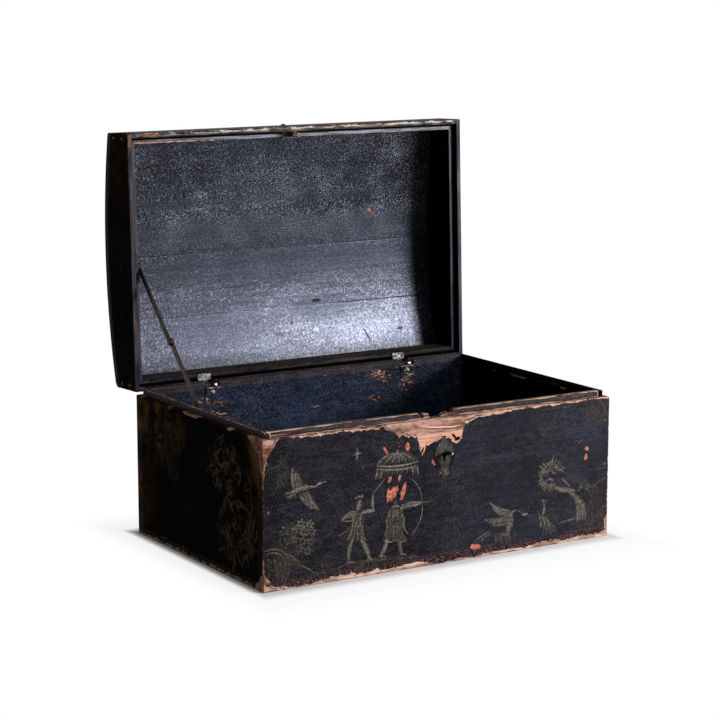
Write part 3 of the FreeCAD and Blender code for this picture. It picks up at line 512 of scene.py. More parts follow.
def sprig(centre, inner, outer, count, width, first, last, tone=1.0):
    """Narrow leaves spread round a centre, from one direction to another in degrees."""
    turn = np.radians(np.linspace(first, last, count))
    starts = np.array(centre) + inner * headings(turn)
    ends = np.array(centre) + outer * headings(turn) * (0.85 + 0.15 * np.cos(5 * turn))[:, None]
    return np.hstack([starts, ends, np.tile([width, 0.05, tone], (count, 1))])


def scatter(centre, reach, count, length, width, seed, tone=1.0):
    """Leaves strewn over an ellipse, each in its own direction, size and strength."""
    rng = np.random.default_rng(seed)
    turn = rng.uniform(0, 2 * np.pi, count)
    away = np.sqrt(rng.uniform(0, 1, count))
    middle = np.array(centre) + headings(turn) * away[:, None] * np.array(reach)
    lean = rng.uniform(0, 2 * np.pi, count)
    half = headings(lean) * (length * rng.uniform(0.3, 0.65, count))[:, None]
    rest = np.column_stack([width * rng.uniform(0.6, 1.2, count), rng.uniform(-0.15, 0.15, count),
                            tone * rng.uniform(0.5, 1.2, count)])
    return np.hstack([middle - half, middle + half, rest])


def make_piece(name, points, faces):
    """An object at the origin from rows of points, in metres, and faces that count them."""
    mesh = bpy.data.meshes.new(name)
    mesh.from_pydata(points.tolist(), [], faces)
    piece = bpy.data.objects.new(name, mesh)
    bpy.context.scene.collection.objects.link(piece)
    return piece


def brushed(name, rows, lay, turned):
    """All strokes as one mesh. Each follows a shallow arc from start to end; its half width is the sine of
    the way along, and its height and strength fall from a ridge to both edges, just under the surface.
    Lay puts the strokes on a face, and turned turns their quads over, so that they face outwards."""
    stations, ridge_height, edge_height, edge_share = 9, 0.16, -0.03, 0.45
    way = np.linspace(0, 1, stations)
    across = np.array([-1.0, 0.0, 1.0])
    begin, end = rows[:, None, 0:2], rows[:, None, 2:4]
    width, bend, tone = rows[:, 4], rows[:, 5], rows[:, 6]
    run = end - begin
    aside = run[:, :, ::-1] * np.array([-1, 1])
    lean = bend[:, None, None]
    line = begin + way[None, :, None] * run + (4 * way * (1 - way))[None, :, None] * lean * aside
    heading = run + (4 - 8 * way)[None, :, None] * lean * aside
    square = heading[:, :, ::-1] * np.array([-1, 1])
    square = square / np.linalg.norm(square, axis=2, keepdims=True)
    half = 0.5 * width[:, None] * np.sin(np.pi * (0.05 + 0.90 * way)) ** 0.6
    flat = line[:, :, None] + (half[:, :, None] * across)[..., None] * square[:, :, None]
    all_stations = np.zeros((1, stations, 1))
    lift = np.where(across == 0, ridge_height * tone[:, None, None], edge_height) + all_stations
    points = lay(flat[..., 0].ravel(), flat[..., 1].ravel(), lift.ravel()) / 1000
    index = np.arange(len(points)).reshape(-1, stations, len(across))
    quads = np.stack([index[:, :-1, :-1], index[:, 1:, :-1], index[:, 1:, 1:], index[:, :-1, 1:]], -1)
    quads = quads.reshape(-1, 4)[:, ::-1] if turned else quads.reshape(-1, 4)
    piece = make_piece(name, points, quads.tolist())
    piece.data.shade_smooth()
    strength = piece.data.attributes.new("tone", "FLOAT", "POINT")
    spread = tone[:, None, None] * np.where(across == 0, 1.0, edge_share) + all_stations
    strength.data.foreach_set("value", spread.ravel().astype(np.float32))
    return piece


def gilding(name, dark, thin, full, lost, metal=0.15, level=0.15):
    """Worn metal powder: strong and weak by the stroke's own tone, browner where it is thin, faded in
    patches and rubbed through to the lacquer in spots."""
    material, point = start(name)
    tone = point.node("Attribute", {"attribute_name": "tone"}, None, "Fac")
    uneven = point.noise(240)
    patches = point.noise(48, detail=4.0)
    powder = (tone + patches * 1.6 - 0.8).rise(0.40, 1.05).mix(thin, full)
    rubbed_through = (point.noise(420) + patches * 0.6).rise(0.78, 0.98)
    colour = layered(dark, ((tone * 0.80 + uneven * 1.5 - 0.86).rise(0.0, 1.0), powder),
                     (rubbed_through * 0.9, lost))
    roughness = uneven * 0.2 + 0.5
    return finish(material, colour, roughness, uneven, 0.0002, Metallic=metal, Specular_IOR_Level=level)


flying_crane = [
    fan((-249, 140), (-235, 143), (-252, 172), (-242, 161), 6, 8.4, 0.06, 0.80),
    fan((-241, 134), (-228, 136), (-221, 111), (-209, 107), 6, 8.6, -0.05, 0.80),
    strokes((-250, 140, -253, 173, 1.8, 0.08, 1.1), (-228, 137, -209, 106, 1.8, -0.06, 1.1)),
    fan((-248, 139), (-247, 133), (-265, 137), (-261, 128), 4, 6.0, 0.0, 0.8),
    strokes((-255, 137, -224, 142, 13, 0.08, 0.95), (-230, 141, -217, 141, 5.0, 0.10, 1.0),
            (-218, 141, -211, 145, 3.8, -0.10, 1.0), (-213, 144, -205, 146, 5.0, 0.0, 1.2),
            (-207, 146, -197, 146.5, 1.8, 0.0, 1.0))]
landing_crane = [
    fan((117, 63), (119, 54), (81, 79), (90, 66), 6, 8.6, 0.08, 0.78),
    fan((119, 55), (120, 46), (72, 55), (84, 46), 5, 8.4, 0.05, 0.72),
    strokes((116, 64, 80, 81, 2.0, 0.08, 1.1), (116, 52, 71, 55, 2.0, 0.06, 0.95)),
    fan((112, 34), (115, 33), (100, 24), (118, 18), 5, 5.4, 0.0, 0.7),
    strokes((118, 62, 112, 28, 15, 0.10, 0.85), (118, 61, 128, 63, 5.0, -0.15, 0.9),
            (127, 62, 142, 54, 3.2, 0.10, 0.7), (139, 54, 150, 54, 6.4, 0.0, 1.0),
            (148, 53.5, 158, 49, 1.8, 0.0, 0.8))]
standing_bird = [
    strokes((179, 69, 176, 45, 6.0, 0.12, 0.9), (175, 71, 184, 69, 5.0, 0.0, 0.9),
            (181, 69, 188, 71, 1.4, 0.0, 1.0), (175, 48, 183, 26, 16, 0.06, 0.65)),
    fan((171, 47), (182, 46), (174, 30), (191, 27), 5, 5.0, 0.08, 0.9),
    fan((185, 38), (181, 30), (204, 22), (195, 16), 5, 3.8, 0.06, 0.7),
    strokes((180, 30, 178, 17, 1.6, 0.0, 0.8), (184, 29, 185, 15, 1.6, 0.0, 0.8))]
pine_tree = [
    fan((242, 31), (258, 31), (235, 75), (244, 67), 7, 11, -0.10, 0.76),
    strokes((246, 66, 224, 84, 12, 0.10, 0.80), (238, 79, 198, 88, 11, 0.05, 0.90),
            (204, 88, 196, 98, 2.4, 0.10, 1.0), (197, 97, 187, 106, 2.0, 0.05, 1.0),
            (181, 99, 199, 101, 1.8, 0.10, 1.1), (213, 100, 228, 86, 2.6, -0.02, 1.1),
            (208, 114, 214, 116, 1.4, -0.45, 1.0), (240, 76, 252, 84, 2.4, -0.10, 0.8)),
    sprig((191, 112), 9, 24, 11, 5.0, 5, 185, 0.95), sprig((190, 110), 3, 12, 8, 4.4, 0, 200, 0.85),
    sprig((204, 114), 7, 16, 5, 4.2, -20, 80, 0.85), sprig((183, 106), 6, 18, 8, 4.8, 110, 235, 0.90),
    sprig((188, 98), 4, 17, 8, 4.4, 185, 315, 0.95), sprig((255, 80), 3, 15, 8, 4.4, -30, 160, 0.75),
    sprig((268, 78), 2, 12, 7, 2.8, -60, 130, 0.55), sprig((240, 95), 2, 10, 6, 2.4, 0, 200, 0.5),
    strokes((270, 78, 297, 92, 1.6, 0.05, 0.8), (272, 104, 296, 106, 1.6, 0.05, 0.6)),
    scatter((272, 190), (18, 13), 26, 13, 4.0, 22, 0.42)]
ground_plants = [
    fan((206, 31), (240, 29), (203, 38), (244, 36), 9, 2.2, 0.05, 0.6),
    strokes((208, 31, 254, 33, 3.2, 0.05, 0.85)),
    scatter((272, 36), (20, 17), 54, 9, 4.2, 31, 0.50), scatter((276, 62), (12, 14), 20, 9, 4.0, 32, 0.48),
    fan((52, 22), (66, 20), (82, 37), (85, 31), 4, 3.4, 0.06, 0.75),
    fan((88, 33), (108, 32), (92, 15), (118, 12), 6, 5.0, 0.15, 0.65),
    scatter((112, 24), (20, 9), 24, 9, 3.0, 33, 0.6)]
parasol = [
    fan((-82, 173), (-79, 173), (-114, 160), (-46, 158), 12, 4.4, (-0.13, 0.13), 0.9),
    strokes((-115, 159, -45, 157, 3.0, -0.05, 1.3), (-115, 154, -46, 151, 2.6, -0.05, 1.2)),
    fan((-114, 157), (-46, 154), (-114, 149), (-46, 146), 20, 3.0, 0.0, 0.75),
    fan((-114, 152), (-47, 150), (-115, 143), (-46, 142), 17, 2.4, 0.0, 0.9),
    fan((-115, 150), (-108, 149), (-117, 138), (-109, 139), 3, 2.8),
    fan((-53, 149), (-46, 149), (-54, 138), (-45, 137), 3, 2.8),
    strokes((-81, 169, -80, 178, 5.0, 0.0, 1.0), (-101, 139, -123, 117, 1.9, 0.0, 1.0))]
parasol_bearer = [
    strokes((-147, 98, -142, 113, 11, 0.0, 0.85), (-152, 115, -137, 116, 4.4, 0.15, 0.9),
            (-140, 114, -139, 121, 2.8, 0.0, 0.9)),
    fan((-155, 96), (-138, 94), (-156, 75), (-139, 73), 6, 5.6, (0.04, -0.04), 0.80),
    fan((-155, 79), (-139, 76), (-163, 55), (-134, 52), 8, 5.6, (0.08, -0.12), 0.70),
    strokes((-156, 79, -165, 58, 2.2, 0.12, 1.1), (-138, 76, -132, 51, 2.2, -0.12, 1.1),
            (-157, 77, -138, 74, 2.2, 0.0, 1.1), (-173, 88, -142, 92, 10, 0.10, 0.85),
            (-173, 88, -146, 97, 2.0, 0.15, 1.2), (-173, 87, -143, 89, 2.0, -0.12, 1.2),
            (-142, 93, -118, 94, 7.0, 0.05, 1.25), (-120, 94, -121, 117, 6.0, 0.06, 1.05),
            (-155, 58, -161, 25, 9.0, -0.08, 0.90), (-142, 55, -127, 25, 10, 0.06, 0.95),
            (-164, 26, -153, 23, 4.4, 0.0, 0.9), (-131, 26, -120, 23, 4.4, 0.0, 0.9)),
    fan((-158, 78), (-157, 74), (-180, 66), (-177, 60), 2, 1.8, 0.10, 0.8)]
archer = [
    strokes((-86, 91, -82, 105, 10, 0.0, 0.60), (-90, 95, -75, 94, 5.0, 0.10, 0.95)),
    fan((-93, 93), (-74, 92), (-99, 75), (-68, 73), 7, 6.0, (0.06, -0.06), 0.75),
    fan((-99, 79), (-68, 76), (-103, 47), (-64, 44), 11, 6.0, (0.16, -0.20), 0.62),
    strokes((-67, 78, -61, 52, 2.4, -0.18, 1.1), (-99, 78, -105, 50, 2.0, 0.12, 0.95),
            (-104, 49, -84, 46, 2.6, -0.14, 1.0), (-84, 46, -63, 45, 2.6, -0.14, 1.0)),
    sprig((-84, 85), 1, 6, 8, 1.8, 0, 315, 1.1), sprig((-84, 63), 3, 11, 11, 2.0, 0, 327, 0.95),
    strokes((-75, 92, -54, 93, 9.0, 0.06, 1.0), (-73, 96, -39, 97, 2.6, 0.04, 1.25),
            (-58, 93, -38, 96, 5.0, -0.05, 1.1), (-59, 134, -38, 97, 2.2, 0.14, 1.0),
            (-38, 97, -57, 49, 2.2, 0.14, 1.0), (-60, 95.5, -18, 95.5, 1.4, 0.0, 1.0),
            (-97, 50, -108, 27, 10, 0.06, 0.95), (-76, 47, -72, 25, 9.0, -0.06, 0.75),
            (-112, 27, -99, 24, 4.4, 0.0, 0.95), (-76, 25, -64, 22, 4.2, 0.0, 0.8))]
ground_line = [
    fan((-166, 23), (-60, 16), (-148, 22), (-42, 15), 9, 5.4, 0.10, 0.62),
    scatter((-104, 18), (58, 6), 46, 10, 4.2, 34, 0.52),
    fan((-230, 12), (-182, 18), (-200, 16), (-160, 22), 3, 3.4, 0.06, 0.6),
    sprig((-195, 20), 2, 16, 7, 1.4, 40, 140, 0.5), sprig((-205, 22), 2, 20, 6, 1.3, 50, 130, 0.45)]
small_bird = strokes((-147, 170, -147, 189, 4.0, 0.0, 1.0), (-154, 178, -140, 180, 3.4, 0.10, 1.0),
                     (-151, 170, -147, 179, 1.8, 0.0, 1.0))
blossoms = [sprig(centre, 2, 8, 6, 5.2, 10, 310, tone) for centre, tone in (
    ((-240, 91), 0.95), ((-226, 88), 1.00), ((-222, 77), 0.95), ((-236, 79), 0.90), ((-249, 84), 0.85),
    ((-251, 70), 0.75), ((-237, 66), 0.75), ((-224, 63), 0.75), ((-243, 55), 0.75), ((-229, 50), 0.80))]
flowering_shrub = [
    scatter((-245, 68), (30, 28), 60, 9, 3.6, 3, 0.45), scatter((-238, 82), (18, 13), 22, 8, 3.4, 8, 0.85),
    scatter((-263, 76), (12, 17), 46, 4, 2.8, 12, 0.75),
    scatter((-270, 168), (11, 25), 22, 17, 4.6, 21, 0.42),
    strokes((-298, 59, -264, 52, 4.2, 0.14, 0.80), (-297, 55, -268, 48, 2.4, 0.14, 0.9),
            (-268, 52, -242, 32, 4.6, 0.12, 0.75), (-246, 34, -221, 19, 2.6, 0.05, 0.85),
            (-221, 19, -210, 15, 2.0, 0.0, 0.8)),
    fan((-284, 50), (-256, 44), (-279, 16), (-268, 8), 7, 7.0, 0.06, 0.50),
    fan((-264, 50), (-244, 40), (-258, 32), (-238, 27), 6, 6.0, 0.08, 0.55)]
front_strokes = np.vstack(flying_crane + landing_crane + standing_bird + pine_tree + ground_plants + parasol
                          + parasol_bearer + archer + ground_line + [small_bird] + blossoms + flowering_shrub)


def on_front(u, v, rise):
    """A place along and up the front face, raised from it."""
    return np.column_stack([u, -1000 * half_depth - rise, v])


front_gilding = brushed("front_gilding", front_strokes, on_front, turned=False)
front_gilt = gilding("front_gilt", dark=paint(30, 27, 27), thin=paint(88, 76, 64), full=paint(122, 116, 107),
                     lost=paint(24, 22, 23))
front_gilding.data.materials.append(front_gilt)
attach(front_gilding, "box")


# The end boards: two shorter softwood boards, let in between the front and back and nailed through them.
# They were lacquered brown-black over the same ground, now dull, with broken corners and rubbed top arrises.
def end_wear(point):
    """Metres inside the broken lacquer on an end: corners up the height, single chips and the foot."""
    y, z = point.axis(1), point.axis(2)
    torn = point.noise(150, detail=4.0) - 0.5
    corner_depths = [(0.0, 0.004), (0.120, 0.0), (0.187, 0.006), (0.193, 0.012), (0.216, 0.044)]
    corner = z.along_line(0.0, wall_top, corner_depths) + torn * 0.004 - (y + half_depth)
    back_depths = [(0.0, 0.001), (0.190, 0.001), (0.216, 0.020)]
    back = z.along_line(0.0, wall_top, back_depths) + torn * 0.004 - (half_depth - y)
    top_depths = [(-0.195, 0.0), (-0.110, 0.0), (-0.100, 0.005), (-0.088, 0.0), (-0.010, 0.0), (0.000, 0.004),
                  (0.036, 0.004), (0.045, 0.0), (0.080, 0.0), (0.084, 0.006), (0.088, 0.0), (0.195, 0.0)]
    top = y.along_line(-half_depth, half_depth, top_depths) + torn * 0.003 - 0.0012 - (wall_top - z)
    foot = point.noise(34, (1, 1, 0.2), 4.0) * 0.026 - 0.0165 - (z - wall_foot)
    return corner.most(back).most(top).most(foot)


end_tones = (paint(1, 1, 0), paint(5, 3, 2))
end_finish = lacquer("end_lacquer", end_wear, along=1, tones=end_tones, bloom=0.006, dust=0.02, level=0.002,
                     rough=0.6, craze=0.6, stains_and_painted_light=(brown_rub,), soil=end_soil)
dress(end_finish, "left_end_board", "right_end_board")


# The gilding on the ends: leafy sprays up from the foot, in the same brushed metal powder as on the front.
# It is so rubbed that it only just shows.
def on_end(side):
    """Gives places along and up one end, raised from it: side is -1 for the left end and 1 for the right."""
    def lay(u, v, rise):
        return np.column_stack([side * (1000 * half_length + rise), u, v])
    return lay


end_strokes = np.vstack([
    scatter((-84, 160), (48, 44), 90, 16, 9.0, 5, 1.05), scatter((-118, 68), (60, 50), 110, 18, 9.0, 6, 1.00),
    scatter((100, 170), (56, 34), 120, 13, 8.0, 7, 0.75), scatter((76, 132), (22, 26), 40, 13, 8.0, 9, 0.7),
    scatter((158, 80), (24, 54), 54, 15, 9.0, 11, 0.65),
    scatter((-158, 100), (20, 64), 40, 22, 10.0, 14, 0.85),
    strokes((-130, 22, -118, 112, 3.4, 0.10, 0.7), (-118, 112, -92, 196, 3.4, -0.08, 0.7),
            (150, 20, 170, 120, 3.0, 0.08, 0.6), (70, 120, 104, 192, 3.0, -0.10, 0.8))])
end_gilt = gilding("end_gilt", dark=paint(8, 5, 4), thin=paint(46, 35, 25), full=paint(74, 65, 54),
                   lost=paint(4, 3, 2), metal=0.0, level=0.002)
for name, side in (("left_gilding", -1), ("right_gilding", 1)):
    end_gilding = brushed(name, end_strokes, on_end(side), turned=side < 0)
    end_gilding.data.materials.append(end_gilt)
    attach(end_gilding, "box")


# The back board: the same softwood, full length, lacquered thinly outside and blue-black inside.
# The inside has dust in the lacquer and chips near the hinges down to the salmon-coloured wood.
inner_face = 0.179


def to_arris(point, name):
    """Distance to a board's nearest arris: the middle one of the distances to its nearest three faces."""
    low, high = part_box(name)
    side = [float(high[a] - low[a]) / 2 - abs(point.axis(a) - float(high[a] + low[a]) / 2) for a in range(3)]
    return side[0].least(side[1]).most(side[0].most(side[1]).least(side[2]))


def back_wear(point):
    """Metres inside the broken lacquer: every arris a little, and on the inner face clusters of small
    chips that run with the grain, inside the ellipses given."""
    torn = point.noise(140, detail=4.0) - 0.5
    arris = torn * 0.008 - 0.0004 - to_arris(point, "back_board")
    rows = [(-0.176, 0.1945, 0.040, 0.0075, 12), (-0.168, 0.1755, 0.018, 0.0050, 8),
            (0.127, 0.2060, 0.030, 0.0140, 20), (0.177, 0.1960, 0.020, 0.0240, 10),
            (0.115, 0.1700, 0.016, 0.0060, 10), (0.009, 0.1680, 0.016, 0.0035, 12)]
    clusters = wall_flakes(point, rows, face=inner_face, reach=0.004).rise(-0.6, 0.6)
    streaks = point.noise(330, grain(0, 0.40), 4.0) - 0.57
    return arris.most((streaks + clusters * 0.40 - 0.34) * 0.02)


def inner_gloss(point):
    """Clear coat on the inner face only."""
    return (point.axis(1) - inner_face).rise(0.0010, 0.0002) * 0.03


def back_soil(point):
    """Orange-brown dirt over the bare wood of the back."""
    return point.noise(90, grain(0, 0.4), 4.0).rise(0.36, 0.62) * 0.35 + 0.06


def outer_face(point):
    """Most of the lacquer on the outer face, which is plain black."""
    return (half_depth - point.axis(1)).rise(0.0010, 0.0002) * 0.72


inner_tones = (paint(13, 17, 27), paint(24, 31, 50))
back_stains = ((outer_face, paint(13, 12, 13)), black_ends, brown_rub)
back_finish = lacquer("back_lacquer", back_wear, tones=inner_tones, bloom=0.27, dust=0.12, gloss=inner_gloss,
                      stains_and_painted_light=back_stains, soil=back_soil, rim=0.1, mist=paint(66, 82, 114))
dress(back_finish, "back_board")


# The corner and bottom nails: square forged iron nails, driven home and lacquered over with the boards.
# Their heads are rusty brown where the lacquer has come off.
def forged_iron(name, dark, light, rust, rough=0.5, grime=None):
    """Hammered iron: dark scale rubbed light in places, with rust in cloudy spots, shallow hammer dents and,
    by the mask grime, near-black."""
    material, point = start(name)
    hammered = point.noise(180, detail=2.0)
    rubbed = point.noise(320).rise(0.42, 0.66)
    rusted = point.noise(75, detail=5.0).rise(0.50, 0.68)
    colour = layered(dark, (rubbed, light), (rusted * 0.8, rust))
    if grime:
        colour = grime(point).mix(colour, paint(14, 12, 12))
    roughness = rusted * 0.3 + hammered * 0.15 + (rough - 0.08)
    return finish(material, colour, roughness, hammered, 0.0004, Metallic=0.8, Specular_IOR_Level=0.4)


nail_finish = forged_iron("nail_iron", dark=paint(44, 40, 38), light=paint(104, 98, 92),
                          rust=paint(74, 46, 30))
dress(nail_finish, "bottom_nails", "box_corner_nails")


# The lips: thin strips glued and pinned on the inner half of the wall tops, where the lid drops over them.
# Lacquered black; the front and left ones are rubbed bare along their upper arrises, and the rest less.
def lip_wear(name, along, arris_depth, chafing):
    """Metres inside the rubbed wood of one lip: its arrises, deeper along the inner one towards the front,
    and long streaks where the lid has chafed it."""
    def worn(point):
        torn = point.noise(120, grain(along, 0.4), 4.0) - 0.5
        inner_side = abs(point.axis(0)).rise(0.2885, 0.2875) * point.axis(1).rise(0.03, -0.08)
        low_part = point.axis(2).rise(0.2225, 0.2205) * along * 0.01
        arris = torn * 0.0050 + arris_depth + inner_side * 0.0006 - to_arris(point, name) - low_part
        streaks = (point.noise(330, grain(along, 0.03), 4.0) - 0.66 + chafing) * 0.02
        return arris.most(streaks)
    return worn


def lip_soil(point):
    """Brown dirt over most of the bare wood of the lips."""
    return point.noise(260, grain(0, 0.06), 4.0).rise(0.42, 0.60) * 0.40 + 0.25


lip_tones = (paint(12, 11, 13), paint(36, 35, 38))
long_look = {"along": 0, "tones": lip_tones, "bloom": 0.4, "dust": 0.1, "level": 0.08, "rough": 0.45}
left_look = {"along": 1, "tones": lip_tones, "bloom": 0.25, "dust": 0.0833, "level": 0.0325, "rough": 0.5}
right_look = {"along": 1, "tones": end_tones, "bloom": 0.0, "dust": 0.0, "level": 0.0, "rough": 0.5}
little_worn = -0.0008
for name, look, arris_depth, chafing in (
        ("front_lip_left", long_look, 0.0009, 0.06), ("front_lip_right", long_look, 0.0008, 0.07),
        ("back_lip_left", long_look, little_worn, 0.0), ("back_lip_middle", long_look, little_worn, 0.0),
        ("back_lip_right", long_look, little_worn, 0.0), ("left_lip", left_look, 0.0013, 0.0),
        ("right_lip", right_look, little_worn, 0.0)):
    worn = lip_wear(name, look["along"], arris_depth, chafing)
    dress(lacquer(name + "_lacquer", worn, soil=lip_soil, **look), name)


# The torn lip: what is left of the front lip over the lock, where a forced lid has ripped most of it away.
# It is the same softwood, ragged on top and dark with dirt.
def torn_strip(name, first, last, heights, ragged, seed):
    """One closed strip: at each station along it a rectangle across the lip, whose two upper corners are
    the height between those given, each less a seeded random share of up to ragged."""
    rng = np.random.default_rng(seed)
    count = 15
    along = np.linspace(first, last, count)
    height = np.interp(along, np.linspace(first, last, len(heights)), heights)
    low, high = (np.array(corner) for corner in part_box("front_lip_left"))
    front, back = np.full(count, low[1]), np.full(count, high[1])
    foot = np.full(count, low[2])
    front_top, back_top = (foot + height * rng.uniform(1 - ragged, 1.0, count) for _ in range(2))
    points = np.stack([np.column_stack(corner) for corner in (
        (along, front, foot), (along, front, front_top), (along, back, back_top), (along, back, foot))], 1)
    index = np.arange(count * 4).reshape(count, 4)
    after = np.roll(index, -1, 1)
    sides = np.stack([index[:-1], index[1:], after[1:], after[:-1]], -1).reshape(-1, 4)
    faces = sides.tolist() + [index[0].tolist(), index[-1, ::-1].tolist()]
    return make_piece(name, points.reshape(-1, 3), faces)


def torn_wood():
    """Splintered softwood, dark with dirt in streaks along the grain."""
    material, point = start("torn_wood")
    dirt = point.noise(240, grain(0, 0.25), 4.0).rise(0.36, 0.56)
    colour = (dirt * 0.85).mix(bare_wood(point, 0), paint(38, 26, 23))
    fibres = point.noise(300, grain(0, 0.1))
    return finish(material, colour, fibres * 0.2 + 0.7, fibres, 0.0006, Specular_IOR_Level=0.02)


torn_finish = torn_wood()
left_heights = (0.0079, 0.0079, 0.0079, 0.0070, 0.0010)
right_heights = (0.0025, 0.0062, 0.0060, 0.0070)
for name, first, last, heights, ragged, seed in (
        ("torn_lip_left", -0.0310, -0.0200, left_heights, 0.08, 41),
        ("torn_lip_right", -0.0010, 0.0210, right_heights, 0.4, 42)):
    torn_lip = torn_strip(name, first, last, heights, ragged, seed)
    torn_lip.data.materials.append(torn_finish)
    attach(torn_lip, "box")


# The lock: a forged plate let into the back of the front board, with its keeper, stud, spring and bolt.
# It is dark forged iron, rubbed grey in places, with a top plate that the lid's staple enters.
lock_finish = forged_iron("lock_iron", dark=paint(34, 31, 30), light=paint(96, 92, 90),
                          rust=paint(66, 42, 30), rough=0.45)
dress(lock_finish, "lock_plate", "lock_top_plate", "lock_keeper", "lock_stud", "lock_spring", "lock_bolt")
dress(nail_finish, "lock_nails")


# The escutcheon: a thin kite of sheet iron over the keyhole, held by small pins.
# It was bright once and is now a dull warm grey with scratches round the keyhole.
def keyhole_plate():
    """Sheet iron: soft grey clouds, scratches up and down and darker dirt, with old lacquer along its lower
    edges and a tear through the keyhole, painted near-black as the shade inside it."""
    material, point = start("keyhole_plate")
    cloud = point.noise(60, detail=4.0).rise(0.35, 0.65)
    scratched = point.noise(420, (1, 1, 0.12)).rise(0.58, 0.72)
    dirt = point.noise(110, detail=5.0).rise(0.48, 0.66)
    x, z = point.axis(0), point.axis(2)
    low = z.rise(0.162, 0.150)
    torn = point.noise(170, detail=4.0) - 0.5
    bare_widths = [(0.120, 0.003), (0.138, 0.006), (0.150, 0.008), (0.159, 0.011), (0.163, 0.016),
                   (0.190, 0.020)]
    bare_width = z.along_line(0.120, 0.190, bare_widths)
    lacquered = (abs(x - 0.001) + torn * 0.012 - bare_width).rise(-0.0008, 0.0008)
    pale_foot = z.rise(0.144, 0.136) * (torn + 0.5).rise(0.48, 0.60)
    # The tear is painted shade: near-black where the plate is torn open.
    tear_rows = [(0.004, 0.1628, 0.0080, 0.0026, 2), (-0.010, 0.1605, 0.0080, 0.0009, -20)]
    torn_hole_painted_shade = wall_flakes(point, tear_rows).rise(-0.25, -0.15)
    colour = cloud.mix(paint(40, 37, 36), paint(72, 68, 66))
    colour = layered(colour, (scratched * 0.4, paint(128, 124, 120)), (dirt * 0.7, paint(36, 31, 28)),
                     (low * 0.7, paint(47, 44, 37)), (lacquered, paint(25, 23, 28)),
                     (pale_foot * 0.6, paint(104, 102, 100)), (torn_hole_painted_shade, paint(4, 3, 3)))
    roughness = dirt * 0.2 + cloud * 0.1 + 0.42
    relief = cloud + scratched * 0.4 - torn_hole_painted_shade
    shine = (1 - torn_hole_painted_shade) * (1 - lacquered) * 0.3
    return finish(material, colour, roughness, relief, 0.0003, {"Metallic": shine}, Specular_IOR_Level=0.02)


def lacquered_pins(point):
    """Old lacquer on every pin but the right one, which is rubbed bright."""
    return point.axis(0).rise(0.010, 0.006) * 0.95


dress(keyhole_plate(), "escutcheon")
pin_finish = forged_iron("pin_iron", dark=paint(170, 170, 172), light=paint(240, 240, 242),
                         rust=paint(120, 110, 104), rough=0.35, grime=lacquered_pins)
dress(pin_finish, "escutcheon_pins")


# The hinges: two strap hinges of forged iron. Each has a leaf inside the back wall, riveted through it and
# lacquered over with it, and a leaf nailed to the lid's back rail, worn to grey steel, on an iron pin.
def at_knuckle(point):
    """Near-black round the hinge pin and along the foot of the leaf."""
    ragged = point.noise(240) * 0.006 - 0.003
    return (point.axis(2) + ragged).rise(0.2260, 0.2225) * 0.92


hinge_finish = forged_iron("hinge_iron", dark=paint(96, 95, 97), light=paint(160, 160, 164),
                           rust=paint(72, 54, 44), rough=0.42)
dress(hinge_finish, "hinge_rivets", "hinge_nails")
leaf_finish = forged_iron("hinge_leaf_iron", dark=paint(84, 83, 85), light=paint(158, 158, 162),
                          rust=paint(66, 48, 38), rough=0.42, grime=at_knuckle)
dress(leaf_finish, "left_hinge_pin", "right_hinge_pin", "left_hinge_lid_leaf", "right_hinge_lid_leaf")
dress(back_finish, "left_hinge_box_leaf", "right_hinge_box_leaf")


# The lid frame: a front and a back rail between two shaped ends, with a rebate round its rim.
# Lacquered black all over. The rim is chafed by the box's lips and chipped along the outer arris.
# The blue-grey sheen on the rim and the shade in the corner of the rebate are painted.
hinge_y, hinge_z, open_angle = 0.1968, 0.2170, 92.0
rim_under, lip_under, strip_width = 0.2166, 0.2261, 0.0075
rail_inside, clear_half_length = 0.0155, 0.2820


def shut(point):
    """The same point with the lid shut, so that the wear can be given by the lid's own heights."""
    turn = np.radians(open_angle)
    moved_y = hinge_y - (hinge_y * np.cos(turn) - hinge_z * np.sin(turn))
    moved_z = hinge_z - (hinge_y * np.sin(turn) + hinge_z * np.cos(turn))
    inputs = {"Vector": point, "Location": (0, moved_y, moved_z), "Rotation": (turn, 0, 0)}
    return point.node("Mapping", None, inputs)


def from_outside(place):
    """Metres in from the nearest outer face of the lid, along its length or its depth."""
    return from_end(place).least(half_depth - abs(place.axis(1)))


def rim_wear(point):
    """Metres inside the rubbed wood of the lid's frame: its lower outer arris, most in front, and a
    line along the inner edge of the front rail's left part."""
    place = shut(point)
    x, y, z = (place.axis(a) for a in range(3))
    torn = point.noise(130, detail=4.0) - 0.5
    front = y.rise(-0.10, -0.17)
    arris = torn * 0.008 + front * 0.0016 - 0.0016 - from_outside(place).most(z - rim_under)
    from_line = abs(y + half_depth - rail_inside).most(z - lip_under).most(abs(x) - clear_half_length)
    inner_line = front * x.rise(-0.06, -0.22) * 0.0030 + torn * 0.006 - 0.0016 - from_line
    return arris.most(inner_line)


def rebate_painted_shade(point):
    """Painted shade: black in the corner of the rebate, all round the rim, in the outer lip's shadow."""
    place = shut(point)
    in_corner = abs(from_outside(place) - strip_width - 0.0015).rise(0.0026, 0.0014)
    return in_corner * (place.axis(2) - lip_under).rise(0.0024, 0.0014)


def rim_face(place):
    """1 on the parts of the frame that face straight down when the lid is shut: the rim and its tread."""
    return from_outside(place).rise(0.0002, 0.0008) * (place.axis(2) - lip_under).rise(0.0007, 0.0001)


def outer_strip(place):
    """1 on the narrow underside of the lid's outer lip, which knocks against the box: all of it in front,
    and less along the sides."""
    front = place.axis(1).rise(-0.10, -0.17) * 0.7 + 0.3
    on_strip = (from_outside(place) - strip_width).rise(0.0003, -0.0003)
    return front * on_strip * (place.axis(2) - rim_under).rise(0.0010, 0.0004)


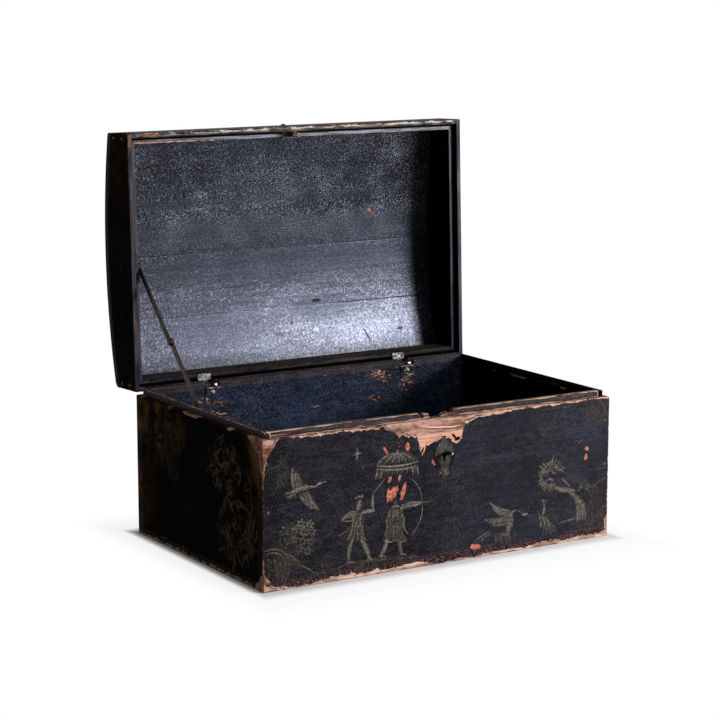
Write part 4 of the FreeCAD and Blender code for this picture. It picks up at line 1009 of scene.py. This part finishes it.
def dark_strip(point):
    """Black dirt over most of the front rail's outer strip."""
    place = shut(point)
    return outer_strip(place) * place.axis(1).rise(-0.178, -0.182) * 0.85


def brown_chips(point):
    """Long brown chips on the outer strip."""
    return outer_strip(shut(point)) * point.noise(230, grain(0, 0.14), 5.0).rise(0.52, 0.62)


def pale_chips(point):
    """Thin pale lines of gesso along the outer arris of that strip."""
    place = shut(point)
    arris = from_outside(place).rise(0.0060, 0.0020)
    return outer_strip(place) * arris * point.noise(420, grain(0, 0.12), 4.0).rise(0.44, 0.58)


def side_chips(point):
    """Long brown chips on the same strip of the ends, which run the other way."""
    return outer_strip(shut(point)) * point.noise(130, grain(2, 0.16), 5.0).rise(0.52, 0.64)


def rim_painted_sheen(point):
    """Painted sheen: blue-grey streaks along the front rail's rim, in place of the light it reflects."""
    return rim_face(shut(point)) * point.noise(330, grain(0, 0.07), 4.0).rise(0.38, 0.62) * 0.9


def side_painted_sheen(point):
    """The same painted sheen on the rim of the ends, in streaks along their own length."""
    streaks = point.noise(210, grain(2, 0.08), 4.0).rise(0.36, 0.64) * 0.6 + 0.2
    return rim_face(shut(point)) * streaks


def rim_gloss(point):
    """Clear coat on the lid's rim: less along the back, none in the rebate's painted shade
    and little on the knocked strip.
    """
    place = shut(point)
    shining = rim_face(place) * (1 - rebate_painted_shade(point)) * (1 - outer_strip(place) * 0.8)
    return shining * (0.45 - place.axis(1).rise(0.12, 0.17) * 0.40)


def back_rail_wear(point):
    """Metres inside the rubbed wood of the back rail: a thin broken line along its lower outer arris, and
    a strip beside the left hinge."""
    place = shut(point)
    x, z = place.axis(0), place.axis(2)
    torn = point.noise(130, grain(0, 0.4), 4.0) - 0.5
    from_arris = from_outside(place).most(z - rim_under)
    strip = x.rise(-0.168, -0.162) * x.rise(-0.132, -0.140) * 0.0044 - 0.0014
    return (torn * 0.006 - 0.0012 - from_arris).most(strip + torn * 0.003 - from_arris)


def brown_streaks(point):
    """Brown and grey streaks along the back rail, where the stay and hinges let hands rub it."""
    return point.noise(170, grain(0, 0.05), 4.0).rise(0.44, 0.68) * 0.7


def end_side(point):
    """1 on the outer sides of the lid's ends."""
    return from_end(point).rise(0.0010, 0.0004)


def rubbed_brown(point):
    """Brown rubbed places on the sides of the lid's ends: near the rim's corners, along the rim, and thinly
    over the front half."""
    place = shut(point)
    y, z = place.axis(1), place.axis(2)
    corner = abs(y).rise(0.130, 0.190) * z.rise(0.250, 0.222)
    edge = z.rise(0.2225, 0.2175) * 0.7
    front_half = y.rise(-0.060, -0.130) * 0.5
    patchy = point.noise(60, detail=5.0) * 0.6 + point.noise(300) * 0.4
    return corner.most(edge).most(front_half) * end_side(point) * patchy.rise(0.40, 0.66)


def end_scratches(point):
    """A few pale scratches along the sides of the lid's ends."""
    return end_side(point) * point.noise(190, grain(2, 0.10)).rise(0.70, 0.75) * 0.7


chip_brown = paint(122, 86, 60)
# The black in the corner of the rebate is painted shade.
painted_rebate_shade = (rebate_painted_shade, paint(1, 1, 1))
lid_tones = (paint(9, 9, 12), paint(30, 30, 36))
# The blue-grey sheen on the rim is painted, and so is the rebate's shade.
rim_stains_and_painted_light = ((rim_painted_sheen, paint(128, 131, 146)), (dark_strip, paint(14, 11, 10)), (brown_chips, chip_brown),
              (pale_chips, paint(206, 194, 182)), painted_rebate_shade)
rail_finish = lacquer("lid_front_rail_lacquer", rim_wear, tones=lid_tones, bloom=0.35, dust=0.06,
                      gloss=rim_gloss, level=0.01, rough=0.45, craze=0.9, stains_and_painted_light=rim_stains_and_painted_light)
dress(rail_finish, "lid_front_rail")
back_rail_tones = (paint(9, 7, 6), paint(26, 21, 18))
back_rail_stains_and_painted_shade = ((brown_streaks, paint(78, 70, 56)), painted_rebate_shade)
back_rail_finish = lacquer("lid_back_rail_lacquer", back_rail_wear, tones=back_rail_tones, bloom=0.30,
                           dust=0.03, gloss=rim_gloss, level=0.01, rough=0.5, craze=0.9,
                           stains_and_painted_light=back_rail_stains_and_painted_shade)
dress(back_rail_finish, "lid_back_rail")
# The sheen on the rim of the ends is painted, and so is the rebate's shade.
end_rim_stains_and_painted_light = ((side_painted_sheen, paint(74, 75, 90)), (rubbed_brown, paint(50, 32, 20)),
                  (end_scratches, paint(112, 92, 78)), (side_chips, chip_brown), painted_rebate_shade)
lid_end_finish = lacquer("lid_end_lacquer", rim_wear, along=1, tones=end_tones, bloom=0.006, dust=0.03,
                         gloss=rim_gloss, level=0.002, rough=0.6, craze=0.6, stains_and_painted_light=end_rim_stains_and_painted_light,
                         soil=end_soil)
dress(lid_end_finish, "lid_left_end", "lid_right_end")


# The staves: four long boards laid side by side over the lid's curved ends, glued edge to edge and nailed.
# Inside they are stained slate-black, dusty and shining, with some sheen and shade painted in;
# outside they are lacquered and scuffed.
crown_radius, crown_centre, stave_joint, outer_skin = 0.8752, -0.5692, 0.0968, 0.0045


def lid_flakes(place, *rows):
    """Flakes on the staves, seen from above with the lid shut. Each row gives a flake's place along and
    across, its half sizes along and across, and its turn in radians."""
    any_height = 9
    return flakes(place, [((x, y, 0), (half_x, half_y, any_height), (0, 0, turn))
                          for x, y, half_x, half_y, turn in rows])


def stave_lacquer():
    """Inside, slate-black stain under a thin coat that has crazed into bright sparks, strewn in drifts and
    thinner along the wood's streaks, with painted sheen in two patches low in the open lid and painted
    shade over the middle and towards the back rail. Outside, dull lacquer, broken along the joints and at
    the ends."""
    material, point = start("stave_lacquer")
    place = shut(point)
    y = place.axis(1)
    from_crown = {"Vector": place, "Location": (0, 0, -crown_centre), "Scale": (0, 1, 1)}
    radius = place.node("Mapping", None, from_crown).length()
    inner = (crown_radius - outer_skin - radius).rise(0.0, 0.002)
    to_end = from_end(place)
    off_ends = to_end.rise(0.0004, 0.0014)
    to_joint = abs(y).least(abs(abs(y) - stave_joint))
    joint = to_joint.rise(0.0012, 0.0004) * point.noise(9, grain(0, 0.6)).rise(0.44, 0.60)
    fibres = point.noise(90, grain(0, 0.05), 4.0)
    grains = point.noise(680, detail=1.0)
    drifts = point.noise(24, detail=4.0)
    streaks = point.noise(320, grain(0, 0.04)).rise(0.46, 0.62)
    mottle = point.noise(250, detail=4.0)
    rubbed_clean = y.rise(-0.070, 0.050)
    sparks = (grains + drifts * 0.26).rise(0.66, 0.88) * (1 - rubbed_clean * 0.62)
    # Painted sheen: two patches low in the open lid, made brighter where the lamp's highlight is strongest.
    bright = lid_flakes(place, (0.165, 0.140, 0.120, 0.045, 0), (-0.285, 0.130, 0.040, 0.050, 0))
    # Painted shade: patches that dim the sheen over the middle.
    painted_shade_patches = lid_flakes(place, (-0.135, 0.125, 0.115, 0.060, 0), (0.060, 0.100, 0.090, 0.022, 0),
                        (-0.020, 0.020, 0.450, 0.050, 0))
    knots = lid_flakes(place, (0.064, 0.090, 0.010, 0.0030, 0), (0.220, 0.148, 0.006, 0.0030, 0),
                       (0.155, 0.154, 0.0018, 0.0150, -0.5), (0.016, 0.123, 0.003, 0.0022, 0))
    chip = lid_flakes(place, (0.170, -0.050, 0.0050, 0.0026, 0.4))
    stain = point.noise(6, grain(0, 0.6), 5.0) * 0.5 + fibres * 0.2 + point.noise(34, grain(0, 0.06)) * 0.3
    slate = stain.rise(0.36, 0.62).mix(paint(27, 27, 31), paint(45, 47, 56))
    slate = layered(slate, (streaks * rubbed_clean * 0.20 + bright.rise(-0.3, 0.9) * 0.26, paint(76, 79, 90)),
                    (mottle.rise(0.50, 0.36) * rubbed_clean * 0.55, paint(22, 22, 26)),
                    (mottle.rise(0.52, 0.68) * rubbed_clean * 0.40, paint(92, 95, 106)),
                    (sparks, paint(130, 132, 145)), (painted_shade_patches.rise(-0.6, 0.8) * 0.65, paint(33, 35, 43)),
                    # painted shade: darker towards the back rail, where the sheen falls off
                    (y.rise(0.150, 0.180) * 0.55, paint(18, 16, 16)),
                    (knots.rise(-0.1, 0.3) * 0.85, paint(7, 7, 8)), (joint * 0.6, paint(6, 5, 6)),
                    (chip.rise(0.0, 0.3), paint(150, 96, 76)))
    torn = point.noise(120, detail=4.0)
    chips = (point.noise(30, grain(0, 0.3), 5.0) - 0.68).most((torn - 0.60) * 0.5 - to_joint * 30) * 0.02
    chips = chips.most((torn - 0.56) * 0.012 - to_end.least(half_depth - abs(y)))
    outside = aged(point, 0, (paint(6, 5, 7), paint(20, 18, 22)), 0.16, 0.08)
    outside = (joint * 0.8).mix(outside, paint(2, 2, 2))
    outside = broken(point, outside, chips, 0, end_soil)
    colour = layered(outside, (inner, slate), (to_end.rise(0.0006, 0.0002), paint(3, 2, 2)))
    varying = {"Metallic": inner * off_ends * 0.64,
               "Coat Weight": (1 - inner) * off_ends * chips.rise(0, -break_edge) * 0.04}
    roughness = grains * 0.12 + (1 - inner) * 0.2 + 0.22
    relief = grains * inner * 0.5 + fibres * 0.4 - joint * 0.4 - (1 - inner) * chips.rise(0, break_edge)
    return finish(material, colour, roughness, relief, 0.0003, varying, Specular_IOR_Level=0.01,
                  Coat_Roughness=0.30)


dress(stave_lacquer(), "lid_stave_1", "lid_stave_2", "lid_stave_3", "lid_stave_4")
dress(nail_finish, "lid_end_nails", "stave_nails")


# The staple: an iron loop on a plate under the lid's front rail, with a rivet clenched over the top edge.
# The lock's bolt slides through it when the lid is down.
dress(lock_finish, "lid_staple", "staple_rivet")
dress(nail_finish, "staple_nails")


# The stay: two flat iron bars riveted at a knee, hung from a plate in the lid and one in the box.
# It holds the lid from falling back, and is dark brown iron with rubbed edges.
stay_finish = forged_iron("stay_iron", dark=paint(26, 19, 16), light=paint(62, 51, 44),
                          rust=paint(50, 32, 23))
dress(stay_finish, "stay_foot_plate", "stay_foot_rivet", "stay_lower_bar", "stay_knee_rivet")
dress(stay_finish, "stay_upper_bar", "stay_lid_pin", "stay_lid_plate")
dress(nail_finish, "stay_foot_nails", "stay_lid_nails")


# The floor and the world behind it: a plain pale sweep that keeps the shadow. To the camera and in
# reflections most of it is plain white.
def seen_rays(shade):
    """1 for the rays that the camera, reflections and clear things send out, and 0 for light's own rays."""
    names = ("Is Camera Ray", "Is Glossy Ray", "Is Transmission Ray")
    camera_rays, glossy_rays, clear_rays = (shade.node("LightPath", None, None, name) for name in names)
    return camera_rays.most(glossy_rays).most(clear_rays)


def pale_floor():
    """White paint that stays white to the eye, with most of the shadow left in it close to the box."""
    material, point = start("pale_floor")
    tree = material.node_tree
    shader = tree.nodes["Principled BSDF"]
    shader.inputs["Base Color"].default_value = (0.9, 0.9, 0.9, 1)
    shader.inputs["Roughness"].default_value = 0.9
    shader.inputs["Specular IOR Level"].default_value = 0.0
    white = point.node("Emission", None, {"Color": (1, 1, 1, 1), "Strength": 1.0})
    away = (abs(point.axis(0)) - half_length).most((abs(point.axis(1)) - half_depth) * 0.5)
    share = seen_rays(point) * (away.rise(0.002, 0.018) * 0.82 + away.rise(0.010, 0.070) * 0.15 + 0.03)
    both = point.node("MixShader", None, {0: share, 1: Shade(tree, shader.outputs[0]), 2: white})
    tree.links.new(both.socket, tree.nodes["Material Output"].inputs["Surface"])
    return material


floor_reach = 14.0
corners = np.array([(-1, -1, 0), (1, -1, 0), (1, 1, 0), (-1, 1, 0)]) * floor_reach
floor = make_piece("floor", corners, [(0, 1, 2, 3)])
floor.data.materials.append(pale_floor())

fill_strength = 0.22
world = bpy.data.worlds.new("studio")
bpy.context.scene.world = world
world.use_nodes = True
around = world.node_tree.nodes["Background"]
seen_strength = seen_rays(Shade(world.node_tree)) * (1 - fill_strength) + fill_strength
world.node_tree.links.new(seen_strength.socket, around.inputs["Strength"])
around.inputs["Color"].default_value = (1, 1, 1, 1)


# The lamps and the camera: one large soft box to the front right, a weaker one overhead, and the
# viewpoint of the photograph.
def soft_box(name, place, target, width, height, watts):
    """A rectangular soft light at a place, turned to face its target."""
    light = bpy.data.lights.new(name, "AREA")
    light.shape = "RECTANGLE"
    light.size = width
    light.size_y = height
    light.energy = watts
    lamp = bpy.data.objects.new(name, light)
    bpy.context.scene.collection.objects.link(lamp)
    lamp.location = place
    lamp.rotation_euler = (target - lamp.location).to_track_quat("-Z", "Y").to_euler()


low, high = (np.array(corner) for corner in cad_box)
middle = Vector((low + high) / 2)
soft_box("front_right_box", (1.97, -2.54, 0.97), middle, width=1.1, height=0.46, watts=104)
soft_box("overhead_box", (0.3, -0.5, 2.6), middle, width=1.6, height=1.6, watts=12)

looking_down, turned_right = 10.1686, 31.7822
camera_data = bpy.data.cameras.new("camera")
camera_data.sensor_width = 36.0
camera_data.lens = 111.01
camera = bpy.data.objects.new("camera", camera_data)
bpy.context.scene.collection.objects.link(camera)
camera.location = (-1.749598, -2.788191, 0.860808)
camera.rotation_euler = (np.radians(90 - looking_down), 0, np.radians(-turned_right))
bpy.context.scene.camera = camera
bpy.context.scene.view_settings.view_transform = "Standard"
